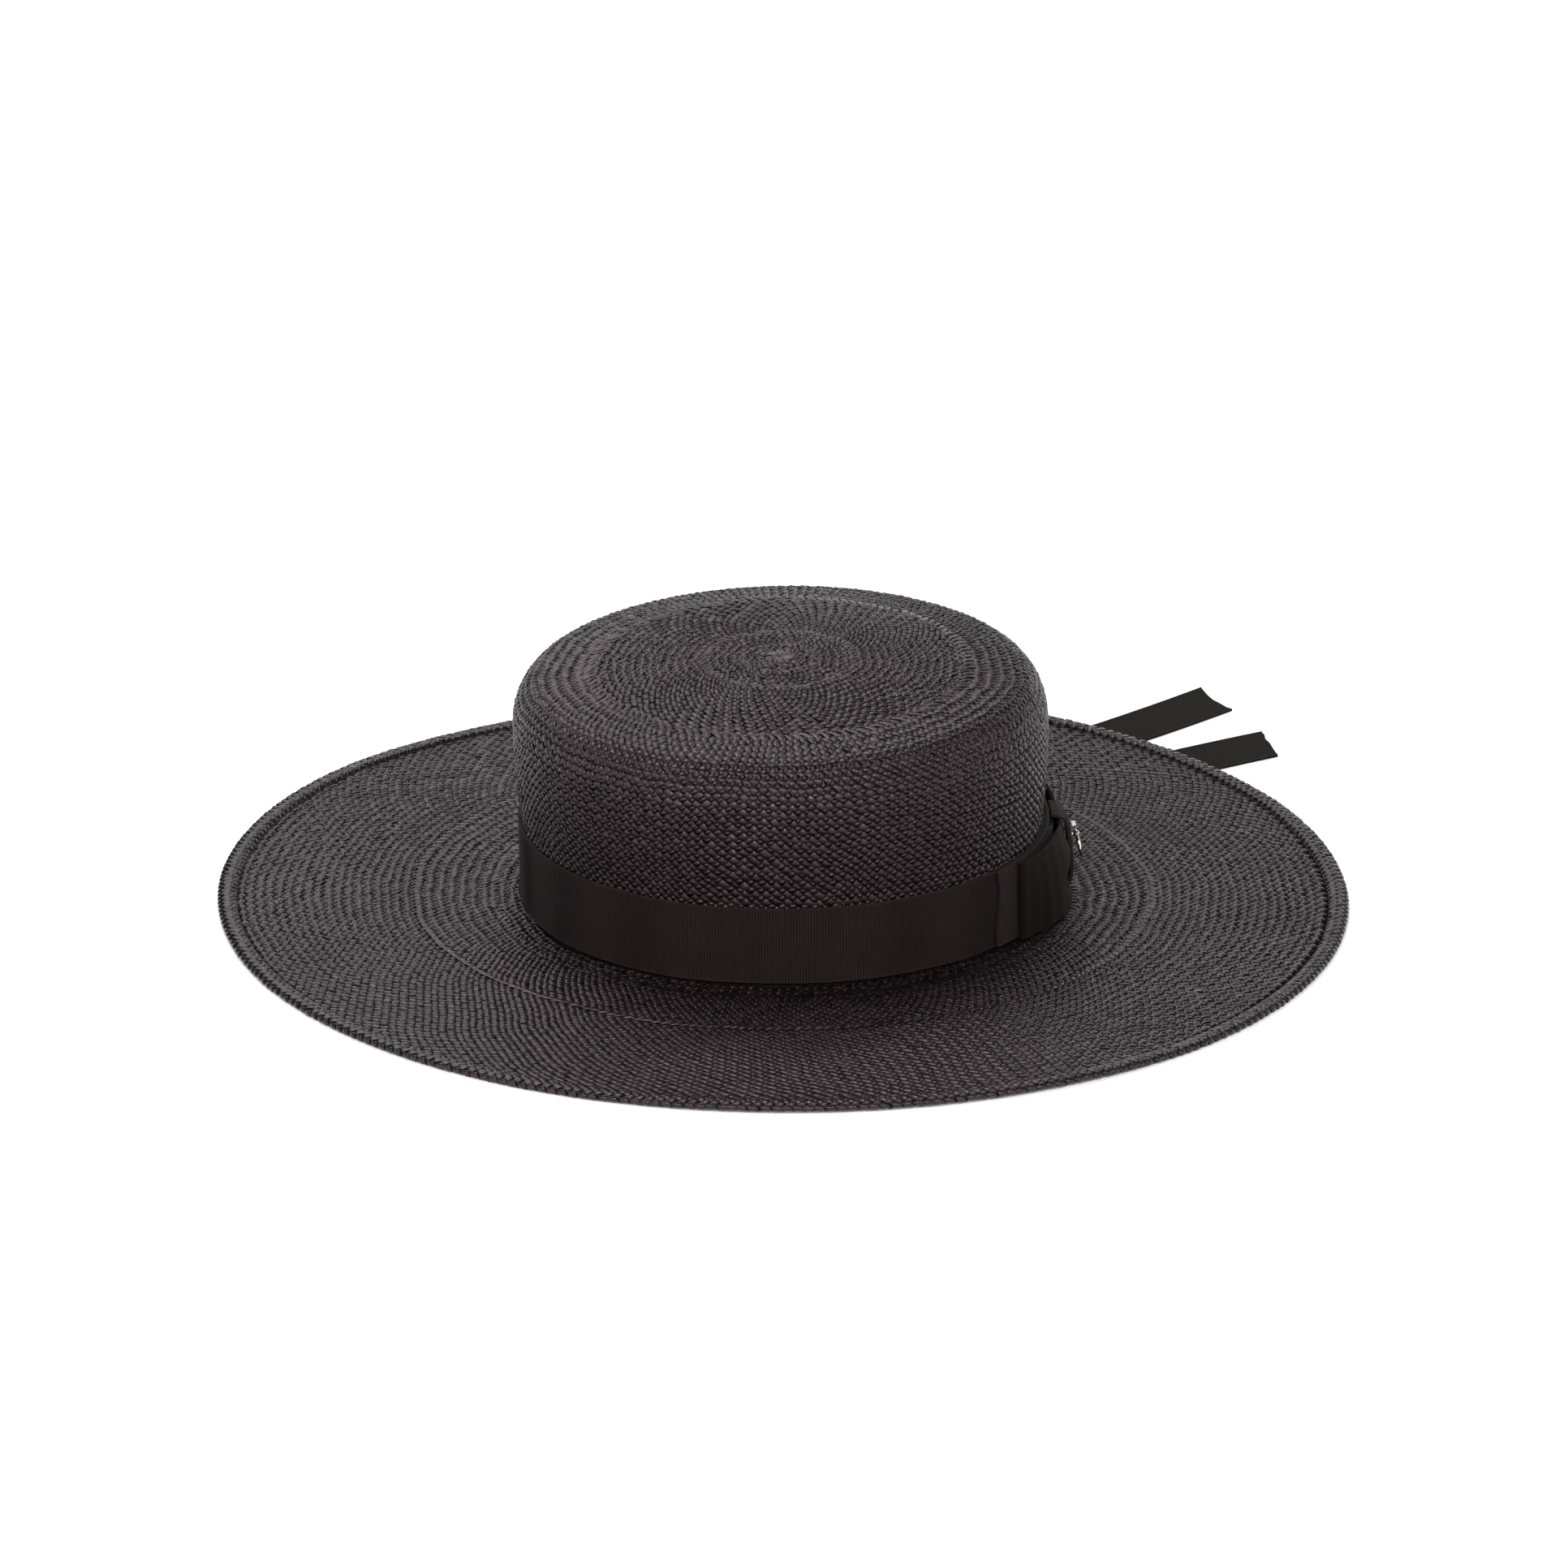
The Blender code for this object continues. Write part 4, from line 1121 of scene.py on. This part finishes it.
def studio():
    """Pale floor, surroundings that are brightest low behind the hat, four soft lamps."""
    mesh = bpy.data.meshes.new("studio_floor")
    mesh.from_pydata(FLOOR_CORNERS, [], [(0, 1, 2, 3)])
    mesh.materials.append(floor_look())
    add_object("studio_floor", mesh)
    world = Look("studio_world", "worlds", "Background")
    place = world.split(world.place("Generated"))
    levels = [world.ramp(place[axis], *numbers) for axis, *numbers in SKY_RAMPS]
    bpy.context.scene.world = world.set(Color=(1.0, 1.0, 1.0), Strength=world.times(*levels))
    for name, place, size, power in LAMPS:
        light = bpy.data.lights.new(name, "AREA")
        light.shape = "DISK"
        light.size = size
        light.energy = power
        lamp = add_object(name, light)
        lamp.location = AXIS + Vector(place)
        aim = AXIS + LAMP_AIM - lamp.location
        lamp.rotation_euler = aim.to_track_quat("-Z", "Y").to_euler()


def camera():
    """Camera at the photograph's angle."""
    bpy.context.scene.view_settings.view_transform = "Standard"
    elevation = math.radians(CAMERA_UP)
    up = Vector((0.0, math.sin(elevation), math.cos(elevation)))
    back = Vector((0.0, -math.cos(elevation), math.sin(elevation)))
    data = bpy.data.cameras.new("photo_camera")
    data.sensor_width = 36.0
    data.lens = CAMERA_LENS
    made = add_object("photo_camera", data)
    made.location = AXIS + back * CAMERA_DISTANCE
    aim = AXIS + up * CAMERA_AIM - made.location
    roll = Quaternion((0.0, 0.0, 1.0), math.radians(CAMERA_ROLL))
    made.rotation_euler = (aim.to_track_quat("-Z", "Y") @ roll).to_euler()
    bpy.context.scene.camera = made


def dress():
    """Put every visible piece over the frame."""
    straw = straw_look("straw", *STRAW_DYE, roughness=0.28)
    inside = straw_look("straw_inside", *INSIDE_DYE, roughness=0.42)
    thread = straw_look("seam_thread", *THREAD_DYE, roughness=0.60)
    shadow = shadow_look("straw_shadow")
    straw_core(shadow)
    sets = zone_floats(OUTER_ZONES, ARCH, ARCH_FACES, FLOAT_RISE)
    growth_rings(sets)
    for name, floats in sets.items():
        floats.build(name, straw, shadow)
    for name, floats in zone_floats(INNER_ZONES, PLAIN, PLAIN_FACES, INNER_RISE).items():
        floats.build(name, inside, shadow)
    hem(straw, thread, shadow)
    hat_band()
    bow_layer()
    bow_loop("bow_loop_front", "bow_front_loop", -1.0)
    bow_loop("bow_loop_rear", "bow_rear_loop", 1.0)
    bow_knot()
    ribbon_ties()
    metal = metal_look()
    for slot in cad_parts["brooch"].material_slots:
        slot.material = metal


dress()
studio()
camera()
